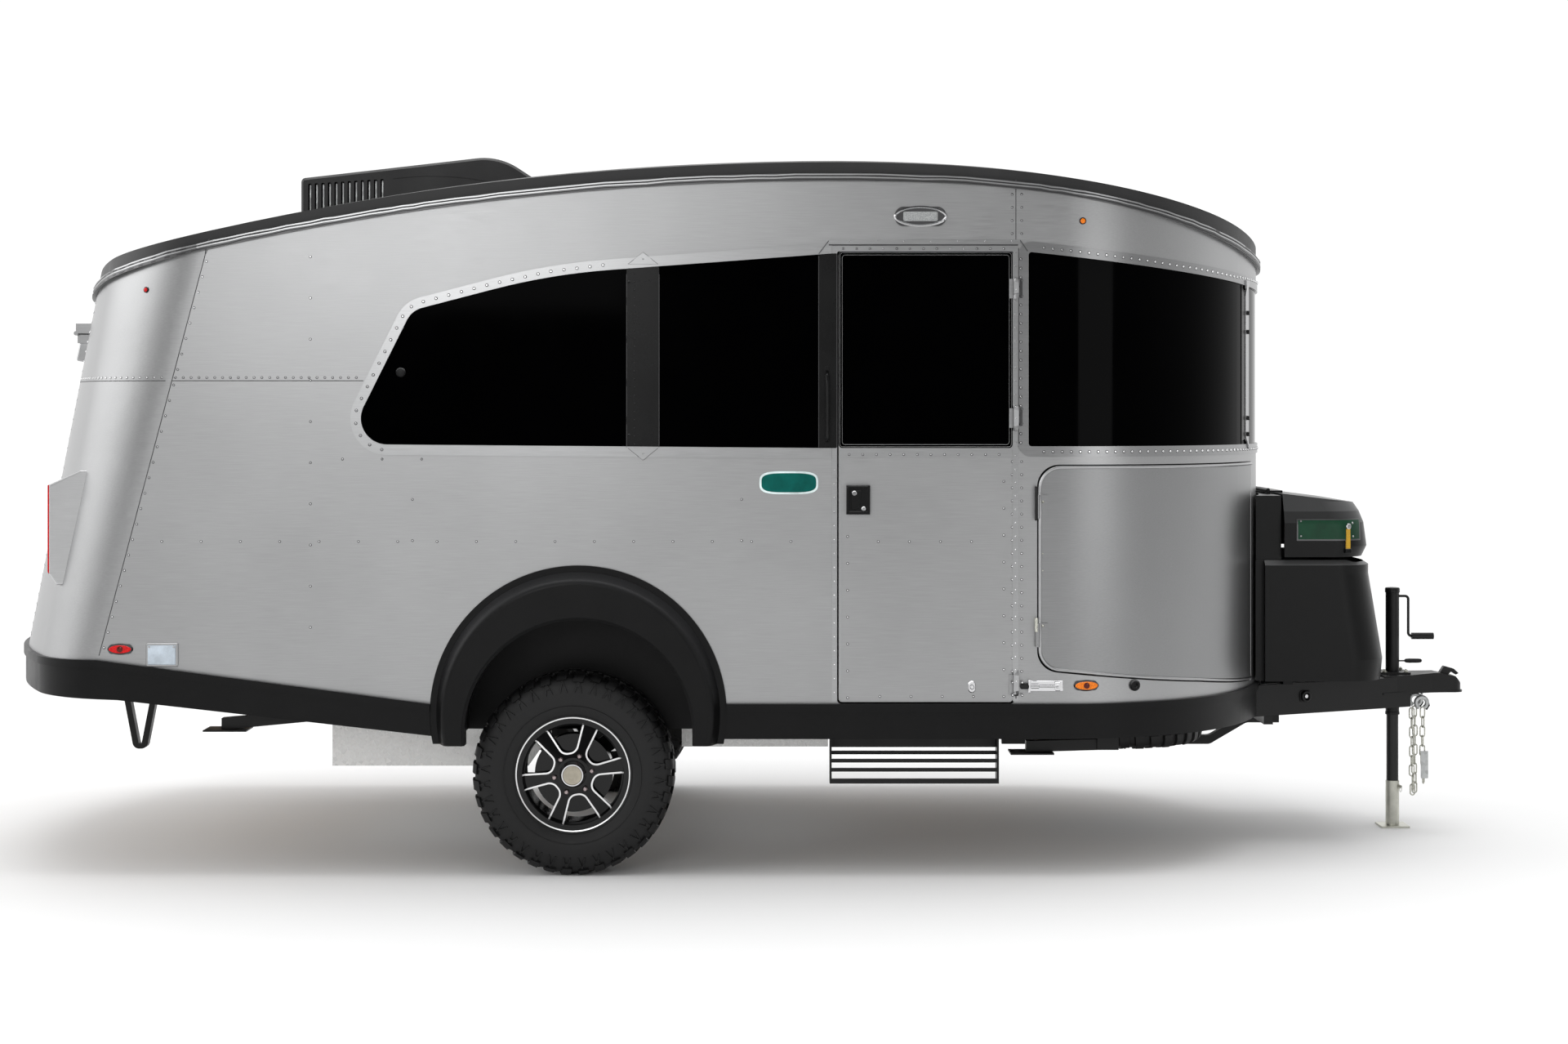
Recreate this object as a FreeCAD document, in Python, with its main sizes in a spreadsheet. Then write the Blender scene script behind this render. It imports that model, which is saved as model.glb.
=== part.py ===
import FreeCAD, Part
import math
import os
import re
from types import SimpleNamespace
from FreeCAD import Placement, Rotation, Vector

# The trailer stands on its wheels and its tongue jack.
# X points to the coupler, Y to the street side, Z up; the origin is on the ground under its middle.

SIZES = {
    # Plan of the body
    "body_width": 2290,
    "wall_thickness": 38,
    "nose_tip_x": 2124,
    "nose_bulge": 255,
    "nose_corner_radius": 900,
    "tail_bulge": 855,
    "tail_tip_x": -3010,
    "tail_seam_x": -2487,
    "tail_seam_lean_share": 0.265,
    "tail_tip_lean_share": 0.195,
    "front_seam_x": 1010,
    # Side view of the body
    "roof_peak_x": 300,
    "roof_peak_z": 2684,
    "roof_rear_radius": 10900,
    "roof_front_radius": 4430,
    "roof_bend_x": 700,
    "roof_edge": 35,
    "roof_crown": 84,
    "roof_tip_crown": 8,
    "roof_thickness": 35,
    "rail_height": 28,
    "rail_depth": 18,
    # Band around the foot of the body
    "band_bottom_z": 529,
    "band_top_z": 663,
    "band_rise_x": -1216,
    "band_rise_bottom_z": 541,
    "band_tail_x": -2409,
    "band_tail_bottom_z": 677,
    "band_tip_bottom_z": 704,
    "band_seam_top_z": 830,
    "band_tip_top_z": 838,
    "band_depth": 20,
    "band_groove": 8,
    "band_lip": 30,
    "band_gap": 4,
    "floor_thickness": 15,
    # Windows of the two sides
    "side_window_front_x": 336,
    "side_window_front_top_z": 2381,
    "side_window_bend_x": -760,
    "side_window_bend_z": 2300,
    "side_window_bend_radius": 2500,
    "side_window_top_x": -1290,
    "side_window_top_z": 2162,
    "side_window_top_radius": 90,
    "side_window_rear_x": -1545,
    "side_window_rear_z": 1652,
    "side_window_rear_radius": 100,
    "side_window_bottom_z": 1637,
    "rear_post_front_x": -347,
    "rear_post_width": 124,
    "door_post_width": 74,
    "glass_thickness": 8,
    "glass_recess": 3,
    "trim_width": 40,
    "trim_depth": 6,
    "corner_radius": 12,
    "side_trim_end_x": 311,
    # Front windows
    "front_window_rear_x": 1062,
    "front_window_bottom_z": 1644,
    "front_window_top_z": 2386,
    "front_window_nose_z": 2262,
    "front_post_y": 620,
    "front_post_width": 34,
    # Entry door
    "door_rear_x": 338,
    "door_width": 664,
    "door_bottom_z": 669,
    "door_height": 1718,
    "door_corner_radius": 14,
    "door_gap": 6,
    "door_glass_bottom_z": 1642,
    "door_glass_margin": 12,
    "door_hinge_radius": 9,
    "door_strap_overlap": 14,
    "door_hinge_out": 14,
    "door_hinge_height": 74,
    "door_hinge_low_z": 1715,
    "door_hinge_high_z": 2208,
    "door_hinge_foot_z": 700,
    # Storage doors at the front corners
    "storage_hinge_x": 1101,
    "storage_front_y": 500,
    "storage_top_z": 1568,
    "storage_rear_bottom_z": 795,
    "storage_front_bottom_z": 727,
    "storage_bottom_bend_x": 1750,
    "storage_tip_bottom_z": 664,
    "storage_corner_radius": 84,
    "storage_gap": 6,
    "storage_hinge_height": 90,
    "storage_hinge_high_z": 1370,
    "storage_hinge_low_z": 880,
    # Rear hatch
    "hatch_half_width": 500,
    "hatch_bottom_z": 1010,
    "hatch_top_z": 2090,
    "hatch_gap": 6,
    "hatch_round": 60,
    "hatch_glass_half_width": 410,
    "hatch_glass_bottom_z": 1560,
    "hatch_glass_top_z": 1990,
    "hatch_hinge_radius": 9,
    "hatch_arm": 120,
    "hatch_hinge_length": 160,
    "knuckle_width": 24,
    "hatch_hinge_y": 320,
    # Wheels
    "wheel_x": -679,
    "wheel_y": 1006,
    "tyre_radius": 387,
    "tyre_width": 248,
    "tread_half_width": 92,
    "shoulder_radius": 366,
    "shoulder_half_width": 114,
    "bulge_radius": 300,
    "bead_radius": 203,
    "flange_radius": 220,
    "rim_half_width": 95,
    "flange_thickness": 8,
    "rim_wall": 8,
    "disc_out": 58,
    "disc_thickness": 26,
    "hub_radius": 62,
    "spoke_root_y": 92,
    "spoke_rim_y": 78,
    "spoke_depth": 24,
    "window_inner_radius": 82,
    "window_inner_half_width": 28,
    "window_outer_radius": 186,
    "window_angle": 40,
    "window_count": 6,
    "window_turn": -10,
    "window_root_round": 26,
    "spindle_radius": 20,
    "spindle_play": 0.3,
    "drum_radius": 150,
    "drum_length": 70,
    # Arch flares and wheel tubs
    "flare_x": -655,
    "flare_z": 624,
    "flare_radius": 566,
    "arch_x": -650,
    "arch_z": 553,
    "arch_radius": 432,
    "flare_foot_z": 510,
    "flare_out": 75,
    "flange_width": 42,
    "flange_depth": 8,
    "flare_round": 26,
    "flare_taper": 30,
    "flare_root": 22,
    "arch_chamfer": 12,
    "tub_radius": 470,
    "tub_wall": 8,
    "tub_inner_y": 850,
    # Chassis
    "rail_top_z": 648,
    "rail_section_height": 127,
    "rail_section_width": 51,
    "rail_y": 690,
    "frame_rear_x": -2700,
    "frame_rear_z": 722,
    "frame_bend_x": 1440,
    "frame_nose_x": 2790,
    "frame_nose_y": 58,
    "cross_member_width": 51,
    "cross_member_height": 76,
    "tail_member_height": 38,
    "axle_ahead": 140,
    "axle_section": 76,
    "axle_arm_width": 40,
    "axle_arm_radius": 34,
    # Coupler
    "coupler_tip_x": 3030,
    "coupler_length": 370,
    "coupler_bottom_z": 577,
    "coupler_flange": 8,
    "coupler_top_z": 655,
    "coupler_head_z": 661,
    "coupler_head_setback": 116,
    "coupler_brow_setback": 36,
    "coupler_brow_z": 645,
    "coupler_lip_z": 612,
    "coupler_rear_half_width": 150,
    "coupler_nose_half_width": 48,
    "coupler_nose_radius": 46,
    "coupler_neck": 92,
    "latch_setback": 106,
    "latch_peak_setback": 78,
    "latch_peak_z": 686,
    "latch_tail_setback": 28,
    "latch_tail_z": 655,
    "latch_half_width": 14,
    "latch_thickness": 12,
    "ball_setback": 51,
    "ball_radius": 25.9,
    "ball_depth": 58,
    "jack_plate": 8,
    "jack_plate_side": 126,
    # Tongue jack
    "jack_setback": 296,
    "jack_tube_radius": 28.5,
    "jack_tube_bottom_z": 479,
    "jack_tube_top_z": 1019,
    "jack_leg_radius": 25,
    "jack_play": 0.6,
    "jack_leg_top_z": 700,
    "jack_shoe_radius": 28.5,
    "jack_shoe_top_z": 196,
    "jack_foot_side": 120,
    "jack_foot_thickness": 8,
    "crank_z": 984,
    "crank_reach": 68,
    "crank_radius": 5.5,
    "crank_drop": 171,
    "crank_grip_radius": 14,
    "crank_grip_length": 93,
    # Front box
    "box_half_width": 480,
    "box_reach": 240,
    "box_clearance": 12,
    "box_bottom_z": 672,
    "box_bottom_front_x": 2600,
    "box_foot_x": 2608,
    "box_foot_z": 759,
    "box_waist_x": 2550,
    "box_waist_z": 1109,
    "box_neck_x": 2522,
    "box_neck_half_width": 455,
    "box_shoulder_z": 1146,
    "box_corner_radius": 160,
    "box_back_x": 2096,
    "box_back_inset": 28,
    "box_lean_z": 1338,
    "box_lean_half_width": 420,
    "box_lean_top_z": 1470,
    "box_riser_half_width": 444,
    "box_neck_z": 1166,
    "box_riser_front_x": 2168,
    "box_riser_top_z": 1430,
    "box_wall": 16,
    "box_foot_width": 40,
    "box_rear_foot_x": 2190,
    "box_front_foot_x": 2470,
    "lid_bottom_z": 1180,
    "lid_lip_x": 2543,
    "lid_lip_z": 1223,
    "lid_ridge_x": 2530,
    "lid_ridge_z": 1319,
    "lid_brow_x": 2513,
    "lid_brow_z": 1366,
    "lid_top_front_x": 2489,
    "lid_top_front_z": 1400,
    "lid_top_z": 1438,
    "lid_rear_x": 2175,
    "lid_wall": 14,
    "lid_hinge_x": 2150,
    "lid_hinge_radius": 8,
    # Spare wheel and its carrier
    "spare_x": 1528,
    "spare_bottom_z": 391,
    "spare_width": 225,
    "spare_flank": 56.25,
    "carrier_z": 368,
    "carrier_tube": 38,
    "carrier_rear_x": 1060,
    "carrier_front_x": 1948,
    "carrier_run": 157,
    "carrier_end_x": 2245,
    "carrier_beam_x": 2110,
    # Stabilisers
    "stabiliser_y": 850,
    "rear_stabiliser_pivot_x": -1700,
    "rear_stabiliser_foot_x": -2058,
    "front_stabiliser_pivot_x": 1400,
    "front_stabiliser_foot_x": 1101,
    # Roof unit
    "cooler_rear_x": -1870,
    "cooler_front_x": -870,
    "cooler_width": 700,
    "cooler_rear_z": 2740,
    "cooler_brow_x": -1050,
    "cooler_brow_z": 2834,
    "cooler_brow_radius": 260,
    "cooler_base_z": 2480,
    "cooler_front_z": 2716,
    "cooler_corner": 18,
    "cooler_edge": 10,
    "louvre_first_x": -1840,
    "louvre_pitch": 27.2,
    "louvre_width": 14,
    "louvre_round": 4.7,
    "louvre_count": 12,
    "louvre_top_z": 2717,
    "louvre_rise": 21,
    "louvre_low_z": 2600,
    "louvre_depth": 26,
    "cooler_groove": 4,
    # Stabiliser legs
    "pin_radius": 8,
    "pin_play": 0.1,
    "stabiliser_width": 42,
    "stabiliser_foot": 170,
    "stabiliser_foot_side": 42.5,
    "bracket_rise": 63,
    "stabiliser_rear_z": 585,
    "stabiliser_rear_foot_z": 530,
    "stabiliser_front_z": 470,
    "stabiliser_front_foot_z": 440,
    # Skid strap under the tail
    "skid_overhang": 16,
    "skid_length": 188,
    "skid_low_length": 56,
    "skid_foot": 26,
    "skid_bottom_z": 333,
    "skid_width": 40,
    "skid_thickness": 22,
    # Tank pans
    "pan_width": 1000,
    "rear_pan_x": -1712,
    "rear_pan_length": 800,
    "rear_pan_bottom_z": 331,
    "front_pan_x": -287,
    "front_pan_length": 596,
    "front_pan_bottom_z": 409,
    # Folded step
    "step_rear_x": 305,
    "step_length": 651,
    "step_front_y": 1070,
    "step_back_y": 1010,
    "step_side": 8,
    "step_side_depth": 70,
    "step_bar": 13,
    "step_bar_depth": 14,
    "step_top_z": 578,
    "step_panel_low_z": 478,
    "step_panel": 5,
    "step_high_bar_z": 450,
    "step_link_bar_z": 427,
    "step_mid_bar_z": 392,
    "step_low_bar_z": 346,
    "step_low_bar": 18,
    "step_hanger_z": 552,
    # Tail lamps
    "tail_lamp_rear_x": -2705,
    "tail_lamp_lens": 8,
    "tail_lamp_sweep": 52,
    "tail_lamp_low_x": -2677,
    "tail_lamp_top_x": -2586,
    "tail_lamp_low_z": 1108,
    "tail_lamp_low_rear_z": 1146,
    "tail_lamp_top_z": 1549,
    "tail_lamp_high_rear_z": 1495,
    "tail_lamp_inset": 103,
    "tail_lamp_width": 206,
    "tail_lamp_round": 8,
    # Side lamps
    "porch_lamp_x": 650,
    "porch_lamp_z": 2520.5,
    "porch_lamp_half_length": 98,
    "porch_lamp_half_height": 37,
    "marker_rear_x": -2402,
    "marker_rear_z": 870.5,
    "marker_front_x": 1283,
    "marker_front_z": 731,
    "marker_half_length": 45,
    "marker_half_height": 18,
    "side_lamp_proud": 7,
    # Door handle
    "handle_x": 367,
    "handle_z": 1385,
    "handle_length": 90,
    "handle_height": 110,
    "handle_depth": 26,
    # Safety chains
    "link_length": 46,
    "link_width": 32,
    "link_round": 10.67,
    "link_bar": 8,
    "link_count": 13,
    "short_link_count": 8,
    "chain_x": 2811,
    "chain_spacing": 26,
    "chain_y": 30,
    "chain_top_z": 577,
    # One overrun for every cut
    "overrun": 60,
}


def write_sheet():
    sheet = doc.addObject("Spreadsheet::Sheet", "Sizes")
    for row, (name, value) in enumerate(SIZES.items(), 1):
        sheet.set(f"A{row}", name)
        sheet.set(f"B{row}", str(value))
        sheet.setAlias(f"B{row}", name)
    doc.recompute()
    return SimpleNamespace(**{name: float(sheet.get(name)) for name in SIZES})


doc = FreeCAD.newDocument("Trailer")
size = write_sheet()
half_width = size.body_width / 2
nose_radius = half_width + size.nose_bulge
tail_radius = half_width + size.tail_bulge
inner_half_width = half_width - size.wall_thickness
jack_x = size.coupler_tip_x - size.jack_setback
ball_x = size.coupler_tip_x - size.ball_setback
NODES = {}


def expression(text):
    """The text with every size's name pointed at the sheet."""
    def name(word):
        return "Sizes." + word.group() if word.group() in SIZES else word.group()

    return re.sub(r"[A-Za-z_]\w*", name, text)


def bind(item, **texts):
    for path, text in texts.items():
        item.setExpression(path, expression(text))
    return item


def put(item, x="0", y="0", z="0"):
    for axis, text in zip("xyz", (x, y, z)):
        item.setExpression(f"Placement.Base.{axis}", expression(text))
    return item


def box(name, length, width, height, x="0", y="0", z="0"):
    item = bind(doc.addObject("Part::Box", name), Length=length, Width=width, Height=height)
    return put(item, x, y, z)


def cylinder(name, radius, height, x="0", y="0", z="0", turn=None):
    item = bind(doc.addObject("Part::Cylinder", name), Radius=radius, Height=height)
    if turn:
        item.Placement = Placement(Vector(), turn)
    return put(item, x, y, z)


def fuse(name, *items):
    item = doc.addObject("Part::MultiFuse", name)
    item.Shapes = list(items)
    item.Refine = True
    return item


def cut(name, base, tool):
    item = doc.addObject("Part::Cut", name)
    item.Base = base
    item.Tool = tool
    return item


def feature(name, shape):
    item = doc.addObject("Part::Feature", name)
    item.Shape = shape
    return item


def node(label, item):
    """Give a finished sub-part the name of its file."""
    item.Label = label
    NODES[label] = item
    return item


ALONG_X = Rotation(Vector(0, 1, 0), 90)
TO_RIGHT = Rotation(Vector(1, 0, 0), 90)
TO_LEFT = Rotation(Vector(1, 0, 0), -90)


# Outlines

def rounded_points(corners):
    """Straight runs and round corners of an outline whose corners are (u, v, radius)."""
    runs = []
    count = len(corners)
    for index, (u, v, radius) in enumerate(corners):
        here = Vector(u, v, 0)
        before = Vector(*corners[index - 1][:2], 0)
        after = Vector(*corners[(index + 1) % count][:2], 0)
        to_before = (before - here).normalize()
        to_after = (after - here).normalize()
        half_angle = to_before.getAngle(to_after) / 2
        if radius == 0:
            runs.append((here, here, here))
            continue
        reach = radius / math.tan(half_angle)
        inward = (to_before + to_after).normalize()
        centre = here + inward * (radius / math.sin(half_angle))
        runs.append((here + to_before * reach, centre - inward * radius, here + to_after * reach))
    return runs


def rounded_face(corners, lay):
    """The face inside an outline; lay puts a flat point in space."""
    runs = [[lay(point) for point in run] for run in rounded_points(corners)]
    edges = []
    for index, (start, middle, finish) in enumerate(runs):
        if start != finish:
            edges.append(Part.Arc(start, middle, finish).toShape())
        following = runs[(index + 1) % len(runs)][0]
        edges.append(Part.makeLine(finish, following))
    return Part.Face(Part.Wire(edges))


def grow(corners, distance):
    """The same outline with its straight runs moved out."""
    grown = []
    count = len(corners)
    for index, (u, v, radius) in enumerate(corners):
        here = Vector(u, v, 0)
        to_before = (Vector(*corners[index - 1][:2], 0) - here).normalize()
        to_after = (Vector(*corners[(index + 1) % count][:2], 0) - here).normalize()
        half_angle = to_before.getAngle(to_after) / 2
        outward = (to_before + to_after).normalize() * -1
        moved = here + outward * (distance / math.sin(half_angle))
        grown.append((moved.x, moved.y, max(radius + distance, 0)))
    return grown


def side_prism(corners, near, far):
    """An outline in the side view, pulled across from one Y to another."""
    face = rounded_face(corners, lambda point: Vector(point.x, near, point.y))
    return face.extrude(Vector(0, far - near, 0))


def end_prism(corners, near, far):
    """An outline seen from the end, pulled along X; its corners are (y, z, radius)."""
    face = rounded_face(corners, lambda point: Vector(near, point.x, point.y))
    return face.extrude(Vector(far - near, 0, 0))


def plan_prism(corners, low, high):
    """An outline seen from above, pulled up from one Z to another."""
    face = rounded_face(corners, lambda point: Vector(point.x, point.y, low))
    return face.extrude(Vector(0, 0, high - low))


def rectangle(low_u, high_u, low_v, high_v, radius=0):
    return [(low_u, low_v, radius), (high_u, low_v, radius),
            (high_u, high_v, radius), (low_u, high_v, radius)]


def block(low, high):
    return Part.makeBox(high.x - low.x, high.y - low.y, high.z - low.z, low)


def mirrored(shape):
    return shape.mirror(Vector(), Vector(0, 1, 0))


# The body's envelope

def flipped(point):
    return Vector(point.x, -point.y, point.z)


def on_circle(centre, radius, angle):
    return centre + Vector(math.cos(angle), math.sin(angle), 0) * radius


def seam_x(level):
    """Where the straight sides end and the tail's round corners start."""
    return size.tail_seam_x + size.tail_seam_lean_share * (level - size.band_tip_top_z)


def tail_tip_x(level):
    return size.tail_tip_x + size.tail_tip_lean_share * (level - size.band_tip_top_z)


def nose_edges(level, offset):
    """Outline of the nose from its right side round to its left side."""
    centre = Vector(size.nose_tip_x - nose_radius, 0, level)
    corner_y = half_width - size.nose_corner_radius
    corner_reach = math.sqrt((nose_radius - size.nose_corner_radius) ** 2 - corner_y ** 2)
    corner = centre + Vector(corner_reach, corner_y, 0)
    angle = math.atan2(corner_y, corner_reach)
    corner_radius = size.nose_corner_radius + offset
    tip = on_circle(centre, nose_radius + offset, 0)
    end = on_circle(centre, nose_radius + offset, angle)
    middle = on_circle(corner, corner_radius, (angle + math.pi / 2) / 2)
    side = on_circle(corner, corner_radius, math.pi / 2)
    return [Part.Arc(flipped(side), flipped(middle), flipped(end)).toShape(),
            Part.Arc(flipped(end), tip, end).toShape(),
            Part.Arc(end, middle, side).toShape()]


def tail_edges(level, offset):
    """Outline of the tail from its left side round to its right side."""
    centre = Vector(tail_tip_x(level) + tail_radius, 0, level)
    shift = seam_x(level) - centre.x
    radius = (tail_radius ** 2 - half_width ** 2 - shift ** 2) / (2 * (tail_radius - half_width))
    corner = Vector(seam_x(level), half_width - radius, level)
    way = corner - centre
    angle = math.atan2(way.y, way.x)
    tip = on_circle(centre, tail_radius + offset, math.pi)
    end = on_circle(centre, tail_radius + offset, angle)
    middle = on_circle(corner, radius + offset, (angle + math.pi / 2) / 2)
    side = on_circle(corner, radius + offset, math.pi / 2)
    return [Part.Arc(side, middle, end).toShape(),
            Part.Arc(end, tip, flipped(end)).toShape(),
            Part.Arc(flipped(end), flipped(middle), flipped(side)).toShape()]


def first_point(edges):
    return edges[0].firstVertex(True).Point


def last_point(edges):
    return edges[-1].lastVertex(True).Point


def ring_wire(nose, tail):
    sides = [Part.makeLine(last_point(nose), first_point(tail)),
             Part.makeLine(last_point(tail), first_point(nose))]
    return Part.Wire(nose + sides[:1] + tail + sides[1:])


reach_x = size.nose_tip_x - size.tail_tip_x
reach_y = half_width + size.overrun
envelope_low_z = size.band_bottom_z - size.overrun
envelope_high_z = size.roof_peak_z + size.roof_edge + size.roof_crown + size.overrun


def tail_space():
    """Everything behind the slanted seam between the sides and the tail."""
    low = envelope_low_z - size.overrun
    high = envelope_high_z + size.overrun
    far = size.tail_tip_x - reach_x
    return side_prism([(seam_x(low), low, 0), (seam_x(high), high, 0), (far, high, 0), (far, low, 0)],
                      -reach_y, reach_y)


def nose_path(offset, rear_x):
    """Outline of the nose and of the straight sides behind it."""
    nose = nose_edges(envelope_low_z, offset)
    right = Vector(rear_x, -half_width - offset, envelope_low_z)
    start = Part.makeLine(right, first_point(nose))
    finish = Part.makeLine(last_point(nose), flipped(right))
    return [start, *nose, finish]


def closed(path):
    return Part.Wire(path + [Part.makeLine(last_point(path), first_point(path))])


def layer_wire(outer, inner):
    """The outline of a thin layer between two open paths that run side by side."""
    ends = [Part.makeLine(last_point(outer), last_point(inner)),
            Part.makeLine(first_point(inner), first_point(outer))]
    return Part.Wire(outer + ends[:1] + inner[::-1] + ends[1:])


def raised(wire):
    return Part.Face(wire).extrude(Vector(0, 0, envelope_high_z - envelope_low_z))


def front_body(offset=0):
    """The space inside the skin ahead of the slanted seam: upright sides and nose."""
    return raised(closed(nose_path(offset, size.tail_tip_x))).cut(tail_space())


def front_skin(inner, outer, rear_x):
    """A layer of the nose and sides between two offsets of the skin."""
    return raised(layer_wire(nose_path(outer, rear_x), nose_path(inner, rear_x)))


def tail_body(offset=0):
    """The space inside the skin behind the seam, leaning forward."""
    return Part.makeLoft([closed(tail_edges(level, offset)) for level in (envelope_low_z, envelope_high_z)],
                         True, True)


def tail_skin(inner, outer):
    """A layer of the tail between two offsets of the skin."""
    wires = [layer_wire(tail_edges(level, outer), tail_edges(level, inner))
             for level in (envelope_low_z, envelope_high_z)]
    return Part.makeLoft(wires, True, True)


def upright_envelope(offset=0):
    """The space inside the band, whose walls stand upright."""
    level = size.band_tip_top_z
    wire = ring_wire(nose_edges(level, offset), tail_edges(level, offset))
    wire.translate(Vector(0, 0, envelope_low_z - level))
    return Part.Face(wire).extrude(Vector(0, 0, envelope_high_z - envelope_low_z))


def roof_line(x):
    """Height of the top edge of the walls."""
    rear_centre_z = size.roof_peak_z - size.roof_rear_radius
    if x <= size.roof_bend_x:
        return rear_centre_z + math.sqrt(size.roof_rear_radius ** 2 - (x - size.roof_peak_x) ** 2)
    slope = (size.roof_bend_x - size.roof_peak_x) / size.roof_rear_radius
    bend_z = roof_line(size.roof_bend_x)
    centre_x = size.roof_bend_x - size.roof_front_radius * slope
    centre_z = bend_z - size.roof_front_radius * math.sqrt(1 - slope ** 2)
    return centre_z + math.sqrt(size.roof_front_radius ** 2 - (x - centre_x) ** 2)


def under_roof(drop, bottom):
    """Everything below the roof's line, lowered by a drop, down to a level."""
    rear_x = size.tail_tip_x - size.overrun
    front_x = size.nose_tip_x + size.overrun

    def on(x):
        return Vector(x, -reach_y, roof_line(x) - drop)

    rear_arc = Part.Arc(on(rear_x), on((rear_x + size.roof_bend_x) / 2), on(size.roof_bend_x))
    front_arc = Part.Arc(on(size.roof_bend_x), on((size.roof_bend_x + front_x) / 2), on(front_x))
    low_front = Vector(front_x, -reach_y, bottom)
    low_rear = Vector(rear_x, -reach_y, bottom)
    edges = [rear_arc.toShape(), front_arc.toShape(), Part.makeLine(on(front_x), low_front),
             Part.makeLine(low_front, low_rear), Part.makeLine(low_rear, on(rear_x))]
    return Part.Face(Part.Wire(edges)).extrude(Vector(0, 2 * reach_y, 0))


def band_top_corners(drop=0):
    """Top edge of the band from the nose to the tail."""
    return [(size.nose_tip_x + size.overrun, size.band_top_z - drop),
            (size.band_rise_x, size.band_top_z - drop),
            (size.tail_seam_x, size.band_seam_top_z - drop),
            (size.tail_tip_x - size.overrun, size.band_tip_top_z - drop)]


def band_bottom_corners():
    """Bottom edge of the band from the tail to the nose."""
    return [(size.tail_tip_x - size.overrun, size.band_tip_bottom_z),
            (size.band_tail_x, size.band_tail_bottom_z),
            (size.band_rise_x, size.band_rise_bottom_z),
            (size.band_rise_x + size.overrun, size.band_bottom_z),
            (size.nose_tip_x + size.overrun, size.band_bottom_z)]


def between(upper, lower):
    """A slice across the body between two edges of the side view."""
    return side_prism([(x, z, 0) for x, z in upper + lower], -reach_y, reach_y)


def above_band():
    top = [(size.tail_tip_x - size.overrun, envelope_high_z),
           (size.nose_tip_x + size.overrun, envelope_high_z)]
    return between(band_top_corners(), top)


# Openings of the side view

def side_window_corners():
    return [(size.side_window_front_x, size.side_window_bottom_z, size.corner_radius),
            (size.side_window_front_x, size.side_window_front_top_z, size.corner_radius),
            (size.side_window_bend_x, size.side_window_bend_z, size.side_window_bend_radius),
            (size.side_window_top_x, size.side_window_top_z, size.side_window_top_radius),
            (size.side_window_rear_x, size.side_window_rear_z, size.side_window_rear_radius)]


def front_window_cutter(distance=0):
    corners = grow(front_window_corners(), distance) if distance else front_window_corners()
    return side_prism(corners, -reach_y, reach_y)


def front_window_corners():
    far_x = size.nose_tip_x + size.overrun
    return [(size.front_window_rear_x, size.front_window_bottom_z, size.corner_radius),
            (far_x, size.front_window_bottom_z, 0),
            (far_x, size.front_window_nose_z, 0),
            (size.front_window_rear_x, size.front_window_top_z, size.corner_radius)]


def storage_corners(gap=0):
    far_x = size.nose_tip_x + size.overrun
    return [(size.storage_hinge_x - gap, size.storage_rear_bottom_z - gap, size.storage_corner_radius),
            (size.storage_bottom_bend_x, size.storage_front_bottom_z - gap, 0),
            (far_x, size.storage_tip_bottom_z - gap, 0),
            (far_x, size.storage_top_z + gap, 0),
            (size.storage_hinge_x - gap, size.storage_top_z + gap, size.storage_corner_radius)]


def door_corners(gap=0):
    return rectangle(size.door_rear_x - gap, size.door_rear_x + size.door_width + gap,
                     size.door_bottom_z - gap, size.door_bottom_z + size.door_height + gap,
                     size.door_corner_radius)


door_front_x = size.door_rear_x + size.door_width


def right_side(corners):
    """A cutter through the right wall only."""
    return side_prism(corners, -reach_y, -inner_half_width + size.overrun)


def storage_cutter(gap=0):
    """The right front corner's storage opening."""
    prism = side_prism(storage_corners(gap), -reach_y, -size.storage_front_y + gap)
    return prism


def wheel_well_cutter():
    """The wheel well on the right, round above and straight below."""
    level = size.arch_z
    round_part = Part.makeCylinder(size.tub_radius, half_width + size.overrun - size.tub_inner_y,
                                   Vector(size.arch_x, -reach_y, level), Vector(0, 1, 0))
    low = Vector(size.arch_x - size.tub_radius, -reach_y, envelope_low_z - size.overrun)
    high = Vector(size.arch_x + size.tub_radius, -size.tub_inner_y, level)
    return round_part.fuse(block(low, high))


def hatch_cutter(gap=0):
    far_x = size.tail_tip_x - size.overrun
    near_x = size.tail_seam_x
    corners = rectangle(-size.hatch_half_width - gap, size.hatch_half_width + gap,
                        size.hatch_bottom_z - gap, size.hatch_top_z + gap, size.hatch_round)
    return end_prism(corners, far_x, near_x)


# Walls

def make_walls():
    inside = -size.wall_thickness
    room = [under_roof(0, envelope_low_z), above_band()]
    side = side_prism(rectangle(size.tail_tip_x, size.front_seam_x, envelope_low_z, envelope_high_z),
                      -half_width, -inner_half_width)
    side = side.common(room[0]).common(room[1]).cut([tail_space(), wheel_well_cutter()])
    side = side.cut(right_side(side_window_corners()))
    node("wall_left", feature("WallLeft", mirrored(side)))
    node("wall_right", feature("WallRight", side.cut(right_side(door_corners(size.door_gap)))))
    nose = front_skin(inside, 0, size.front_seam_x).common(room[0]).common(room[1])
    nose = nose.cut([front_window_cutter(), storage_cutter(size.storage_gap),
                     mirrored(storage_cutter(size.storage_gap))])
    node("wall_front", feature("WallFront", nose))
    tail = tail_skin(inside, 0).common(room[0]).common(room[1]).cut(hatch_cutter(size.hatch_gap))
    tail = tail.fuse(hatch_knuckles())
    node("wall_rear", feature("WallRear", tail))


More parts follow.
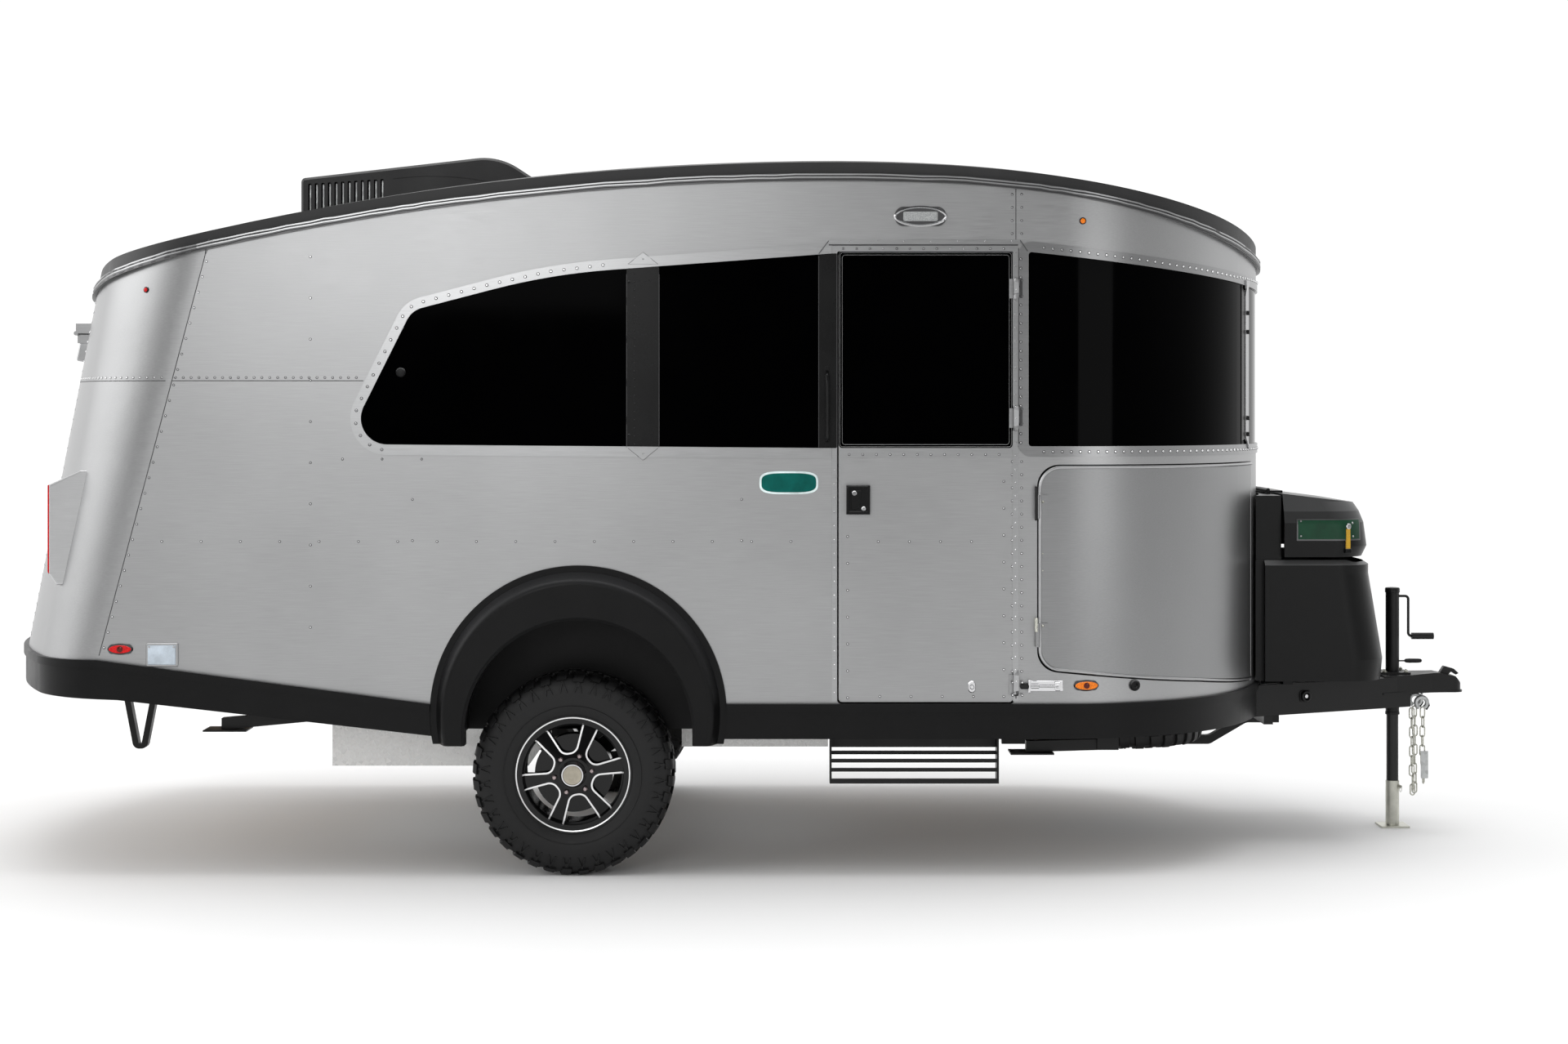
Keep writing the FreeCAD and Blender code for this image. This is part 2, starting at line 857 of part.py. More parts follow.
def make_band():
    """The dark band: a lip along its top, and a lower face set back by a shallow step."""
    wells = [wheel_well_cutter(), mirrored(wheel_well_cutter())]
    flare_disc = Part.makeCylinder(size.flare_radius, 2 * reach_y,
                                   Vector(size.flare_x, -reach_y, size.flare_z), Vector(0, 1, 0))
    core = upright_envelope(-size.wall_thickness)
    bottom = band_bottom_corners()
    lower = upright_envelope(size.band_depth - size.band_groove).common(between(band_top_corners(), bottom))
    lip_floor = list(reversed(band_top_corners(size.band_lip)))
    lip = upright_envelope(size.band_depth).common(between(band_top_corners(), lip_floor))
    rails = [drawbar_rail(-1, size.band_gap), drawbar_rail(1, size.band_gap)]
    band = lower.fuse(lip).cut([core, flare_disc] + wells + rails).removeSplitter()
    node("belly_band", feature("BellyBand", band))


def make_floor():
    """The plywood floor, which rises with the band towards the tail."""
    def edge(drop):
        return [(size.nose_tip_x + size.overrun, size.rail_top_z + size.floor_thickness - drop),
                (size.band_rise_x, size.rail_top_z + size.floor_thickness - drop),
                (size.frame_rear_x, size.frame_rear_z + size.floor_thickness - drop),
                (size.tail_tip_x - size.overrun, size.frame_rear_z + size.floor_thickness - drop)]
    slab = between(edge(0), list(reversed(edge(size.floor_thickness))))
    slab = slab.common(upright_envelope(-size.wall_thickness))
    slab = slab.cut([wheel_well_cutter(), mirrored(wheel_well_cutter())])
    node("floor_panel", feature("FloorPanel", slab))


# Roof

def crown(x):
    """Rise of the roof's middle above its edge, which fades towards both tips."""
    middle = (size.nose_tip_x + roof_rear_x) / 2
    half = (size.nose_tip_x - roof_rear_x) / 2
    share = abs(x - middle) / half
    return size.roof_tip_crown + (size.roof_crown - size.roof_tip_crown) * math.sqrt(max(1 - share ** 3, 0))


roof_rear_x = tail_tip_x(roof_line(size.tail_seam_x))


def roof_section(x, bottom, drop):
    edge_z = roof_line(x) + size.roof_edge - drop
    left = Vector(x, reach_y, edge_z)
    right = Vector(x, -reach_y, edge_z)
    top = Vector(x, 0, edge_z + crown(x))
    low_left = Vector(x, reach_y, bottom)
    low_right = Vector(x, -reach_y, bottom)
    return Part.Wire([Part.Arc(right, top, left).toShape(), Part.makeLine(left, low_left),
                      Part.makeLine(low_left, low_right), Part.makeLine(low_right, right)])


ROOF_STATION_SHARES = [0, 0.04, 0.12, 0.25, 0.4, 0.55, 0.7, 0.82, 0.92, 0.97, 1]


def roof_block(drop):
    """Everything under the crowned top of the roof."""
    length = size.nose_tip_x - roof_rear_x
    bottom = roof_line(roof_rear_x) - size.roof_crown
    stations = [roof_rear_x + share * length for share in ROOF_STATION_SHARES]
    stations = [stations[0] - size.overrun] + stations[1:-1] + [stations[-1] + size.overrun]
    return Part.makeLoft([roof_section(x, bottom, drop) for x in stations], True, False)


def make_roof():
    walls_top = under_roof(0, envelope_low_z)
    dome = roof_block(0).cut(walls_top)
    hollow = roof_block(size.roof_thickness)
    panel = []
    rail = []
    room = walls_top.cut(under_roof(size.rail_height, envelope_low_z - size.overrun))
    for body in (front_body, tail_body):
        panel.append(dome.common(body()).cut(hollow.common(body(-size.wall_thickness))))
        rail.append(body(size.rail_depth).cut(body()).common(room))
    node("roof_panel", feature("RoofPanel", panel[0].fuse(panel[1])))
    node("drip_rail", feature("DripRail", rail[0].fuse(rail[1])))


# Windows

def make_windows():
    opening = side_window_corners()
    rear_pane = block(Vector(size.side_window_rear_x, -reach_y, envelope_low_z),
                      Vector(size.rear_post_front_x - size.rear_post_width, 0, envelope_high_z))
    front_pane = block(Vector(size.rear_post_front_x, -reach_y, envelope_low_z),
                       Vector(size.side_window_front_x - size.door_post_width, 0, envelope_high_z))
    outer_y = -half_width + size.glass_recess
    sheet = side_prism(opening, outer_y, outer_y + size.glass_thickness)
    glass = sheet.common(rear_pane.fuse(front_pane))
    node("glass_right", feature("GlassRight", glass))
    node("glass_left", feature("GlassLeft", mirrored(glass)))

    posts = side_prism(opening, -half_width, -inner_half_width).cut([rear_pane, front_pane])
    cutter = front_window_cutter()
    band = front_skin(-size.wall_thickness, 0, size.front_seam_x).common(cutter)
    nose = Vector(size.front_window_rear_x, size.front_post_y - size.front_post_width / 2, envelope_low_z)
    far_y = size.front_post_y + size.front_post_width / 2
    far = Vector(size.nose_tip_x + size.overrun, far_y, envelope_high_z)
    post_space = block(nose, far)
    front_post = band.common(post_space)
    node("window_posts", feature("WindowPosts", Part.makeCompound(
        [posts, mirrored(posts), front_post, mirrored(front_post)])))

    pane = front_skin(-size.glass_recess - size.glass_thickness, -size.glass_recess, size.front_seam_x)
    pane = pane.common(cutter)
    panes = pane.cut([post_space, mirrored(post_space)])
    node("glass_front", feature("GlassFront", panes))


def make_trims():
    """Bright frames that stand proud of the skin round the windows."""
    opening = side_window_corners()
    outer_y = -half_width - size.trim_depth
    frame = side_prism(grow(opening, size.trim_width), outer_y, -half_width)
    frame = frame.cut(side_prism(opening, -reach_y, reach_y))
    door_side = block(Vector(size.side_trim_end_x, -reach_y, envelope_low_z),
                      Vector(size.front_seam_x, 0, envelope_high_z))
    node("window_trim_right", feature("WindowTrimRight", frame.cut(door_side)))
    node("window_trim_left", feature("WindowTrimLeft", mirrored(frame)))
    ring = front_skin(0, size.trim_depth, size.front_seam_x).common(front_window_cutter(size.trim_width))
    ring = ring.cut(front_window_cutter())
    node("window_trim_front", feature("WindowTrimFront", ring))


# Doors

def hinge_barrel(x, y, z, height):
    return Part.makeCylinder(size.door_hinge_radius, height, Vector(x, y, z))


def across_barrel(radius, length, x, y, z):
    """A round bar that lies across the trailer."""
    return Part.makeCylinder(radius, length, Vector(x, y, z), Vector(0, 1, 0))


def make_entry_door():
    leaf = side_prism(door_corners(), -half_width, -inner_half_width)
    pane_outline = rectangle(size.door_rear_x + size.door_glass_margin, door_front_x - size.door_glass_margin,
                             size.door_glass_bottom_z,
                             size.door_bottom_z + size.door_height - size.door_glass_margin,
                             size.door_corner_radius - size.door_glass_margin)
    leaf = leaf.cut(side_prism(pane_outline, -reach_y, 0))
    barrels = []
    axis_x = size.front_seam_x
    axis_y = -half_width - size.door_hinge_out
    for level in (size.door_hinge_foot_z, size.door_hinge_low_z, size.door_hinge_high_z):
        barrel = hinge_barrel(axis_x, axis_y, level, size.door_hinge_height)
        strap = block(Vector(door_front_x - size.door_strap_overlap, -half_width - size.trim_depth, level),
                      Vector(axis_x, -half_width, level + size.door_hinge_height))
        barrels.append(barrel.fuse(strap))
    node("entry_door", feature("EntryDoor", leaf.fuse(barrels).removeSplitter()))
    outer_y = -half_width + size.glass_recess
    pane = side_prism(pane_outline, outer_y, outer_y + size.glass_thickness)
    node("door_glass", feature("DoorGlass", pane))


def make_storage_doors():
    leaf = front_skin(-size.wall_thickness, 0, size.front_seam_x).common(storage_cutter())
    knuckles = []
    axis_x = size.storage_hinge_x - size.storage_gap
    axis_y = -half_width - size.door_hinge_out
    for level in (size.storage_hinge_low_z, size.storage_hinge_high_z):
        barrel = hinge_barrel(axis_x, axis_y, level, size.storage_hinge_height)
        strap = block(Vector(axis_x, -half_width - size.trim_depth, level),
                      Vector(axis_x + size.trim_width, -inner_half_width, level + size.storage_hinge_height))
        knuckles.append(barrel.fuse(strap.cut(front_body())))
    right = leaf.fuse(knuckles).removeSplitter()
    node("storage_door_right", feature("StorageDoorRight", right))
    node("storage_door_left", feature("StorageDoorLeft", mirrored(right)))


def hatch_hinge():
    """A point on the hatch's hinge line, behind the skin at the hatch's top."""
    return Vector(tail_tip_x(size.hatch_top_z) - size.door_hinge_out, 0, size.hatch_top_z + size.hatch_gap)


def hatch_knuckles():
    """Fixed ends of the hatch's hinges, on the tail above it."""
    pivot = hatch_hinge()
    reach = size.hatch_hinge_length / 2 + size.spindle_play
    knuckles = []
    for side in (-1, 1):
        for end in (-1, 1):
            near = side * size.hatch_hinge_y + end * reach
            low = min(near, near + end * size.knuckle_width)
            barrel = across_barrel(size.hatch_hinge_radius, size.knuckle_width, pivot.x, low, pivot.z)
            arm = block(Vector(pivot.x, low, pivot.z),
                        Vector(pivot.x + size.hatch_arm, low + size.knuckle_width, pivot.z + size.trim_width))
            knuckles.append(barrel.fuse(arm.cut(tail_body())))
    return knuckles


def make_rear_hatch():
    leaf = tail_skin(-size.wall_thickness, 0).common(hatch_cutter())
    corners = rectangle(-size.hatch_glass_half_width, size.hatch_glass_half_width,
                        size.hatch_glass_bottom_z, size.hatch_glass_top_z, size.hatch_round)
    window = end_prism(corners, size.tail_tip_x - size.overrun, size.tail_seam_x)
    leaf = leaf.cut(window)
    pivot = hatch_hinge()
    hinges = []
    for side in (-1, 1):
        middle_y = side * size.hatch_hinge_y
        start = pivot + Vector(0, middle_y - size.hatch_hinge_length / 2, 0)
        barrel = across_barrel(size.hatch_hinge_radius, size.hatch_hinge_length, *start)
        arm = block(Vector(pivot.x, start.y, pivot.z - size.trim_width),
                    Vector(pivot.x + size.hatch_arm, start.y + size.hatch_hinge_length,
                           pivot.z - size.hatch_gap))
        hinges.append(barrel.fuse(arm.cut(tail_body())))
    node("rear_hatch", feature("RearHatch", leaf.fuse(hinges).removeSplitter()))
    pane = tail_skin(-size.glass_recess - size.glass_thickness, -size.glass_recess).common(window)
    node("hatch_glass", feature("HatchGlass", pane))


# Arches

def make_arches():
    """Flares over the wheels, with a flat flange and a lip that bulges out."""
    def disc(x, z, radius, near, far):
        return Part.makeCylinder(radius, far - near, Vector(x, near, z), Vector(0, 1, 0))

    skin_y = -half_width
    lip_y = skin_y - size.flare_out
    inner_y = -inner_half_width
    foot = block(Vector(size.flare_x - size.flare_radius - size.overrun, -reach_y - size.flare_out, 0),
                 Vector(size.flare_x + size.flare_radius + size.overrun, 0, size.flare_foot_z))
    arch = disc(size.arch_x, size.arch_z, size.arch_radius, -reach_y - size.flare_out, 0)
    arch_low = block(Vector(size.arch_x - size.arch_radius, -reach_y - size.flare_out, 0),
                     Vector(size.arch_x + size.arch_radius, 0, size.arch_z))
    well = wheel_well_cutter()
    flange = disc(size.flare_x, size.flare_z, size.flare_radius, skin_y - size.flange_depth, skin_y)
    root_radius = size.flare_radius - size.flare_root
    lip = Part.makeCone(root_radius - size.flare_taper, root_radius, size.flare_out,
                        Vector(size.flare_x, lip_y, size.flare_z), Vector(0, 1, 0))
    rim_edge = [edge for edge in lip.Edges if abs(edge.BoundBox.YMax - lip_y) < size.trim_depth
                and abs(edge.BoundBox.YMin - lip_y) < size.trim_depth]
    lip = lip.makeFillet(size.flare_round, rim_edge)
    mouth = Part.makeCone(size.arch_radius + size.arch_chamfer, size.arch_radius, size.arch_chamfer,
                          Vector(size.arch_x, lip_y, size.arch_z), Vector(0, 1, 0))
    band_part = disc(size.flare_x, size.flare_z, size.flare_radius, skin_y, inner_y)
    band_part = band_part.cut(above_band()).cut(well)
    flare = flange.fuse([lip, band_part]).cut([arch, mouth, arch_low, foot]).removeSplitter()
    node("flare_right", feature("FlareRight", flare))
    node("flare_left", feature("FlareLeft", mirrored(flare)))

    tub_radius = size.tub_radius - size.tub_wall
    outer = wheel_well_cutter().common(block(Vector(size.tail_tip_x, -half_width, size.band_bottom_z),
                                             Vector(size.nose_tip_x, 0, envelope_high_z)))
    level = size.arch_z
    hollow = disc(size.arch_x, level, tub_radius, -reach_y, -size.tub_inner_y - size.tub_wall)
    hollow_low = block(Vector(size.arch_x - tub_radius, -reach_y, 0),
                       Vector(size.arch_x + tub_radius, -size.tub_inner_y - size.tub_wall, level))
    tub = outer.cut([hollow, hollow_low]).removeSplitter()
    node("wheel_tub_right", feature("WheelTubRight", tub))
    node("wheel_tub_left", feature("WheelTubLeft", mirrored(tub)))


# Wheels

def tyre_wire():
    """Half of the tyre's outline is mirrored, so the bulge is the same on both sides."""
    bead = Vector(size.rim_half_width, size.bead_radius, 0)
    flange = Vector(size.rim_half_width, size.flange_radius + size.spindle_play, 0)
    bulge = Vector(size.tyre_width / 2, size.bulge_radius, 0)
    shoulder = Vector(size.shoulder_half_width, size.shoulder_radius, 0)
    tread = Vector(size.tread_half_width, size.tyre_radius, 0)

    def flip(point):
        return Vector(-point.x, point.y, 0)

    return Part.Wire([
        Part.makeLine(flip(bead), bead), Part.makeLine(bead, flange),
        Part.Arc(flange, bulge, shoulder).toShape(), Part.makeLine(shoulder, tread),
        Part.makeLine(tread, flip(tread)), Part.makeLine(flip(tread), flip(shoulder)),
        Part.Arc(flip(shoulder), flip(bulge), flip(flange)).toShape(),
         Part.makeLine(flip(flange), flip(bead))])


def make_wheels():
    face = Part.Face(tyre_wire())
    face.rotate(Vector(), Vector(0, 0, 1), 90)
    tyre = face.revolve(Vector(), Vector(0, 1, 0), 360)
    for side, name in ((-1, "right"), (1, "left")):
        whole = tyre.copy()
        whole.translate(Vector(size.wheel_x, side * size.wheel_y, size.tyre_radius))
        node(f"tyre_{name}", feature(f"Tyre{name.title()}", whole))
        rim = make_rim()
        if side < 0:
            rim = mirrored(rim)
        rim.translate(Vector(size.wheel_x, side * size.wheel_y, size.tyre_radius))
        node(f"rim_{name}", feature(f"Rim{name.title()}", rim))


def make_rim():
    """A left-hand wheel at the origin, its face towards +Y: a barrel, a drum and six coned spokes."""
    outer = size.rim_half_width + size.flange_thickness
    inside = size.bead_radius - size.rim_wall
    barrel = [(-outer, inside), (outer, inside), (outer, size.flange_radius),
              (size.rim_half_width, size.flange_radius), (size.rim_half_width, size.bead_radius),
              (-size.rim_half_width, size.bead_radius), (-size.rim_half_width, size.flange_radius),
              (-outer, size.flange_radius)]
    cone = [(size.disc_out, 0), (size.spoke_root_y, 0), (size.spoke_root_y, size.hub_radius),
            (size.spoke_rim_y, inside), (size.spoke_rim_y - size.spoke_depth, inside),
            (size.disc_out, size.hub_radius)]
    ring, face = [turned_about_y(outline) for outline in (barrel, cone)]
    along = Vector(0, 1, 0)
    windows = []
    for index in range(int(size.window_count)):
        turn = size.window_turn + index * 360 / size.window_count
        windows.append(spoke_window().rotate(Vector(), along, turn))
    drum_y = size.disc_out - size.drum_length
    drum = across_barrel(size.drum_radius, size.drum_length, 0, drum_y, 0)
    bore = across_barrel(size.spindle_radius + size.spindle_play, size.drum_length, 0, drum_y, 0)
    return ring.fuse([face.cut(windows), drum]).cut(bore).removeSplitter()


def turned_about_y(outline):
    """A full turn about Y of an outline of (y, radius) points."""
    wire = Part.makePolygon([Vector(0, y, radius) for y, radius in outline + outline[:1]])
    return Part.Face(wire).revolve(Vector(), Vector(0, 1, 0), 360)


def spoke_window():
    """One opening between two spokes: a round foot, sides that fan out and an outer edge along the rim."""
    reach = size.bead_radius
    half = math.radians(size.window_angle / 2)
    foot = size.window_inner_half_width
    spread = foot + (reach - size.window_inner_radius) * math.tan(half)
    foot_z = size.window_inner_radius
    foot_round = size.window_root_round
    corners = [(foot, foot_z, foot_round), (spread, reach, 0), (-spread, reach, 0),
               (-foot, foot_z, foot_round)]
    near = size.spoke_rim_y - size.overrun
    depth = size.overrun + size.overrun
    room = across_barrel(size.window_outer_radius, depth, 0, near, 0)
    return side_prism(corners, near, near + depth).common(room)


# Chassis

def drawbar_y(x):
    """How far the middle of a drawbar rail is from the centre line."""
    share = (x - size.frame_bend_x) / (size.frame_nose_x - size.frame_bend_x)
    return size.rail_y + share * (size.frame_nose_y - size.rail_y)


def drawbar_rail(side, margin=0):
    """The rail that runs from the main rail's front end to the coupler."""
    run_x = size.frame_nose_x - size.frame_bend_x
    run_y = size.rail_y - size.frame_nose_y
    half = size.rail_section_width / 2 + margin
    rail = block(Vector(0, -half, size.rail_top_z - size.rail_section_height - margin),
                 Vector(math.hypot(run_x, run_y), half, size.rail_top_z + margin))
    rail.rotate(Vector(), Vector(0, 0, 1), -side * math.degrees(math.atan2(run_y, run_x)))
    rail.translate(Vector(size.frame_bend_x, side * size.rail_y, 0))
    return rail


def frame_rail(side):
    """A main rail that rises behind the wheels, and the drawbar rail ahead of it."""
    near = side * size.rail_y - size.rail_section_width / 2
    top = size.rail_top_z
    deep = size.rail_section_height
    main = side_prism([(size.frame_bend_x, top, 0), (size.band_rise_x, top, 0),
                       (size.frame_rear_x, size.frame_rear_z, 0),
                       (size.frame_rear_x, size.frame_rear_z - deep / 2, 0),
                       (size.band_rise_x, top - deep, 0), (size.frame_bend_x, top - deep, 0)],
                      near, near + size.rail_section_width)
    return main.fuse(drawbar_rail(side))


def cross_member(x, top, height):
    return block(Vector(x, -size.rail_y, top - height), Vector(x + size.cross_member_width, size.rail_y, top))


def tail_member_top(x):
    """Top of a cross member behind the wheels, just under the sloping floor."""
    slope = (size.frame_rear_z - size.rail_top_z) / (size.band_rise_x - size.frame_rear_x)
    return size.rail_top_z + slope * (size.band_rise_x - x - size.cross_member_width)


CROSS_MEMBER_SHARES = [0.06, 0.45, 0.62, 0.86]
skid_member_x = size.frame_rear_x - size.skid_overhang + size.skid_length - size.cross_member_width


def make_chassis():
    pieces = [frame_rail(-1), frame_rail(1)]
    length = size.frame_bend_x - size.band_rise_x
    for share in CROSS_MEMBER_SHARES:
        x = size.band_rise_x + share * length
        pieces.append(cross_member(x, size.rail_top_z, size.cross_member_height))
    for x in (size.frame_rear_x, skid_member_x):
        pieces.append(cross_member(x, tail_member_top(x), size.tail_member_height))
    frame = pieces[0].fuse(pieces[1:])
    cutoff = block(Vector(size.frame_nose_x, -reach_y, 0),
                   Vector(size.coupler_tip_x, reach_y, envelope_high_z))
    frame = frame.cut(cutoff).removeSplitter()
    node("chassis_frame", feature("ChassisFrame", frame))
    return frame


def make_axle():
    """A torsion axle: a square tube under the rails, with an arm and a spindle at each end."""
    across = cylinder("AxleSpindle", "spindle_radius", "2 * (wheel_y + disc_out)", turn=TO_RIGHT,
                      x="wheel_x", y="wheel_y + disc_out", z="tyre_radius")
    gap = box("AxleSpindleGap", "2 * axle_arm_radius", "2 * (rail_y + rail_section_width)",
              "2 * axle_arm_radius",
              "wheel_x - axle_arm_radius", "-(rail_y + rail_section_width)", "tyre_radius - axle_arm_radius")
    ends = cut("AxleStubs", across, gap)
    tube = box("AxleTube", "axle_section", "2 * (rail_y + rail_section_width)", "axle_section",
               "wheel_x + axle_ahead - axle_section / 2", "-(rail_y + rail_section_width)",
               "rail_top_z - rail_section_height - axle_section")
    arms = []
    for side, text in ((-1, "-(rail_y + rail_section_width + axle_arm_width)"),
                       (1, "rail_y + rail_section_width")):
        rear = Vector(size.wheel_x, 0, size.tyre_radius)
        front = Vector(size.wheel_x + size.axle_ahead, 0,
                       size.rail_top_z - size.rail_section_height - size.axle_section / 2)
        way = front - rear
        normal = Vector(-way.z, 0, way.x).normalize() * size.axle_arm_radius
        end = way.normalize() * size.axle_arm_radius
        face = Part.Face(Part.Wire([
            Part.makeLine(rear + normal, front + normal),
            Part.Arc(front + normal, front + end, front - normal).toShape(),
            Part.makeLine(front - normal, rear - normal),
            Part.Arc(rear - normal, rear - end, rear + normal).toShape()]))
        arm = feature(f"AxleArm{side + 1}", face.extrude(Vector(0, size.axle_arm_width, 0)))
        arms.append(put(arm, y=text))
    node("axle_beam", fuse("AxleBeam", tube, ends, *arms))


def make_coupler(frame):
    """A coupler head on a tapered channel that wraps the nose of the frame, with its latch on top."""
    tip = size.coupler_tip_x
    rear = tip - size.coupler_length
    flat = [(rear, size.coupler_rear_half_width, 0),
            (ball_x - size.coupler_neck, size.coupler_nose_half_width, 0),
            (tip, size.coupler_nose_half_width, size.coupler_nose_radius)]
    outline = flat + [(x, -y, radius) for x, y, radius in reversed(flat)]
    flange = plan_prism(outline, size.coupler_bottom_z, size.coupler_bottom_z + size.coupler_flange)
    channel = plan_prism(grow(outline, -size.coupler_flange), size.coupler_bottom_z, size.coupler_head_z)
    lip = size.coupler_flange
    side = [(rear, size.coupler_bottom_z, 0), (tip - lip, size.coupler_bottom_z, 0),
            (tip - lip, size.coupler_lip_z, size.coupler_flange),
            (tip - size.coupler_brow_setback, size.coupler_brow_z, size.coupler_flange),
            (tip - size.coupler_head_setback, size.coupler_head_z, 0),
            (jack_x + size.jack_plate_side / 2, size.coupler_top_z, 0), (rear, size.coupler_top_z, 0)]
    channel = channel.common(side_prism(side, -size.coupler_rear_half_width, size.coupler_rear_half_width))
    latch = side_prism(latch_corners(), -size.latch_half_width, size.latch_half_width)
    socket = Part.makeCylinder(size.ball_radius, size.ball_depth, Vector(ball_x, 0, size.coupler_bottom_z))
    hole = Part.makeCylinder(size.jack_tube_radius, envelope_high_z, Vector(jack_x, 0, 0))
    head = channel.fuse([flange, latch]).cut([socket, hole, frame]).removeSplitter()
    solids = sorted(head.Solids, key=lambda solid: solid.Volume)
    node("coupler", feature("Coupler", Part.makeCompound(solids[-1:])))


def latch_corners():
    """The bent latch lever on the coupler's head, seen from the side."""
    tip = size.coupler_tip_x
    thick = size.latch_thickness
    foot_z = size.coupler_bottom_z + size.ball_depth + size.coupler_flange
    return [(tip - size.latch_setback, foot_z, 0),
            (tip - size.latch_peak_setback, size.latch_peak_z, size.latch_thickness / 2),
            (tip - size.coupler_brow_setback, size.latch_peak_z - thick, size.latch_thickness / 2),
            (tip - size.latch_tail_setback + thick, size.latch_tail_z, 0),
            (tip - size.latch_tail_setback, size.latch_tail_z - thick / 2, 0),
            (tip - size.coupler_brow_setback - thick, size.latch_peak_z - 2 * thick, 0),
            (tip - size.latch_peak_setback + thick, foot_z, 0)]


def crank_rod():
    """The crank's round bar: out of the tube, down, and out again into the grip."""
    in_wall = jack_x + (size.jack_tube_radius + size.jack_leg_radius + size.jack_play) / 2
    bend_x = jack_x + size.crank_reach
    low_z = size.crank_z - size.crank_drop
    bend = size.crank_grip_radius
    corners = [(in_wall, size.crank_z, 0), (bend_x, size.crank_z, bend), (bend_x, low_z, bend),
               (bend_x + size.crank_grip_length, low_z, 0)]
    runs = [[Vector(point.x, 0, point.y) for point in run] for run in rounded_points(corners)]
    edges = []
    for before, after in zip(runs, runs[1:]):
        edges.append(Part.makeLine(before[2], after[0]))
        if after[0] != after[2]:
            edges.append(Part.Arc(*after).toShape())
    ring = Part.Wire(Part.makeCircle(size.crank_radius, runs[0][0], Vector(1, 0, 0)))
    return Part.Wire(edges).makePipeShell([ring], True, True)


def make_jack():
    """Tongue jack: a tube with a side crank, and a leg that slides out of it."""
    axis = "coupler_tip_x - jack_setback"
    outer = cylinder("JackOuter", "jack_tube_radius", "jack_tube_top_z - jack_tube_bottom_z",
                     x=axis, z="jack_tube_bottom_z")
    bore = cylinder("JackBore", "jack_leg_radius + jack_play",
                    "jack_tube_top_z - jack_tube_bottom_z - crank_radius",
                    x=axis, z="jack_tube_bottom_z")
    tube = cut("JackTubeBody", outer, bore)
    rod = feature("CrankRod", crank_rod())
    grip = cylinder("CrankGrip", "crank_grip_radius", "crank_grip_length",
                    x=axis + " + crank_reach + crank_grip_radius", z="crank_z - crank_drop", turn=ALONG_X)
    plate = box("JackPlate", "jack_plate_side", "jack_plate_side", "jack_plate",
                axis + " - jack_plate_side / 2", "-jack_plate_side / 2", "coupler_top_z")
    hole = cylinder("JackPlateHole", "jack_tube_radius - jack_play", "jack_plate + overrun",
                    x=axis, z="coupler_top_z - overrun / 2")
    plate = cut("JackFlange", plate, hole)
    node("jack_tube", fuse("JackTube", tube, rod, grip, plate))

    leg = cylinder("JackInner", "jack_leg_radius", "jack_leg_top_z - jack_foot_thickness",
                   x=axis, z="jack_foot_thickness")
    shoe = cylinder("JackShoe", "jack_shoe_radius", "jack_shoe_top_z - jack_foot_thickness",
                    x=axis, z="jack_foot_thickness")
    foot = box("JackFoot", "jack_foot_side", "jack_foot_side", "jack_foot_thickness",
               axis + " - jack_foot_side / 2", "-jack_foot_side / 2")
    node("jack_leg", fuse("JackLeg", leg, shoe, foot))


# Front box

box_rear_x = size.nose_tip_x - size.box_reach


half_box = size.box_half_width


def lid_knuckle(side):
    """A fixed end of the lid's hinge, on the riser at the back of the box."""
    start = side * (size.box_half_width / 2 + size.spindle_play)
    low = min(start, start + side * size.knuckle_width)
    centre_z = size.lid_top_z + size.lid_hinge_radius
    barrel = across_barrel(size.lid_hinge_radius, size.knuckle_width, size.lid_hinge_x, low, centre_z)
    stand = block(Vector(size.lid_hinge_x - size.lid_hinge_radius, low, size.box_riser_top_z),
                  Vector(size.lid_hinge_x + size.lid_hinge_radius, low + size.knuckle_width, centre_z))
    return barrel.fuse(stand)


def lean_half(level):
    """Half the lid's width, which narrows towards its top."""
    share = (half_box - size.box_lean_half_width) / (size.box_lean_top_z - size.box_lean_z)
    return half_box - max(level - size.box_lean_z, 0) * share


BOX_STATIONS = [(size.box_bottom_z, size.box_bottom_front_x, half_box), (size.box_foot_z, size.box_foot_x, half_box),
                (size.box_waist_z, size.box_waist_x, half_box),
                (size.box_shoulder_z, size.box_waist_x, half_box),
                (size.box_neck_z, size.box_neck_x, size.box_neck_half_width)]
LID_STATIONS = [(level, front_x, lean_half(level)) for level, front_x in (
    (size.lid_bottom_z, size.box_neck_x), (size.lid_lip_z, size.lid_lip_x),
    (size.lid_ridge_z, size.lid_ridge_x), (size.lid_brow_z, size.lid_brow_x),
    (size.lid_top_front_z + size.trim_depth, size.lid_top_front_x), (size.box_lean_top_z, size.lid_top_front_x))]


def moulded_box(stations, inset=0, rear_x=box_rear_x):
    """A block through plan outlines with round front corners; a station is (height, front, half width)."""
    wires = []
    for level, front_x, half in stations:
        side, front, radius = half - inset, front_x - inset, size.box_corner_radius - inset
        outline = [(rear_x, -side, 0), (front, -side, radius), (front, side, radius), (rear_x, side, 0)]
        face = rounded_face(outline, lambda point, level=level: Vector(point.x, point.y, level))
        wires.append(face.OuterWire)
    return Part.makeLoft(wires, True, True)


def open_stations(stations, end):
    """The same stations with the first or last one moved past the form, for cutting it open there."""
    moved = list(stations)
    level, front_x, half = moved[end]
    moved[end] = (level + (size.overrun if end else -size.overrun), front_x, half)
    return moved


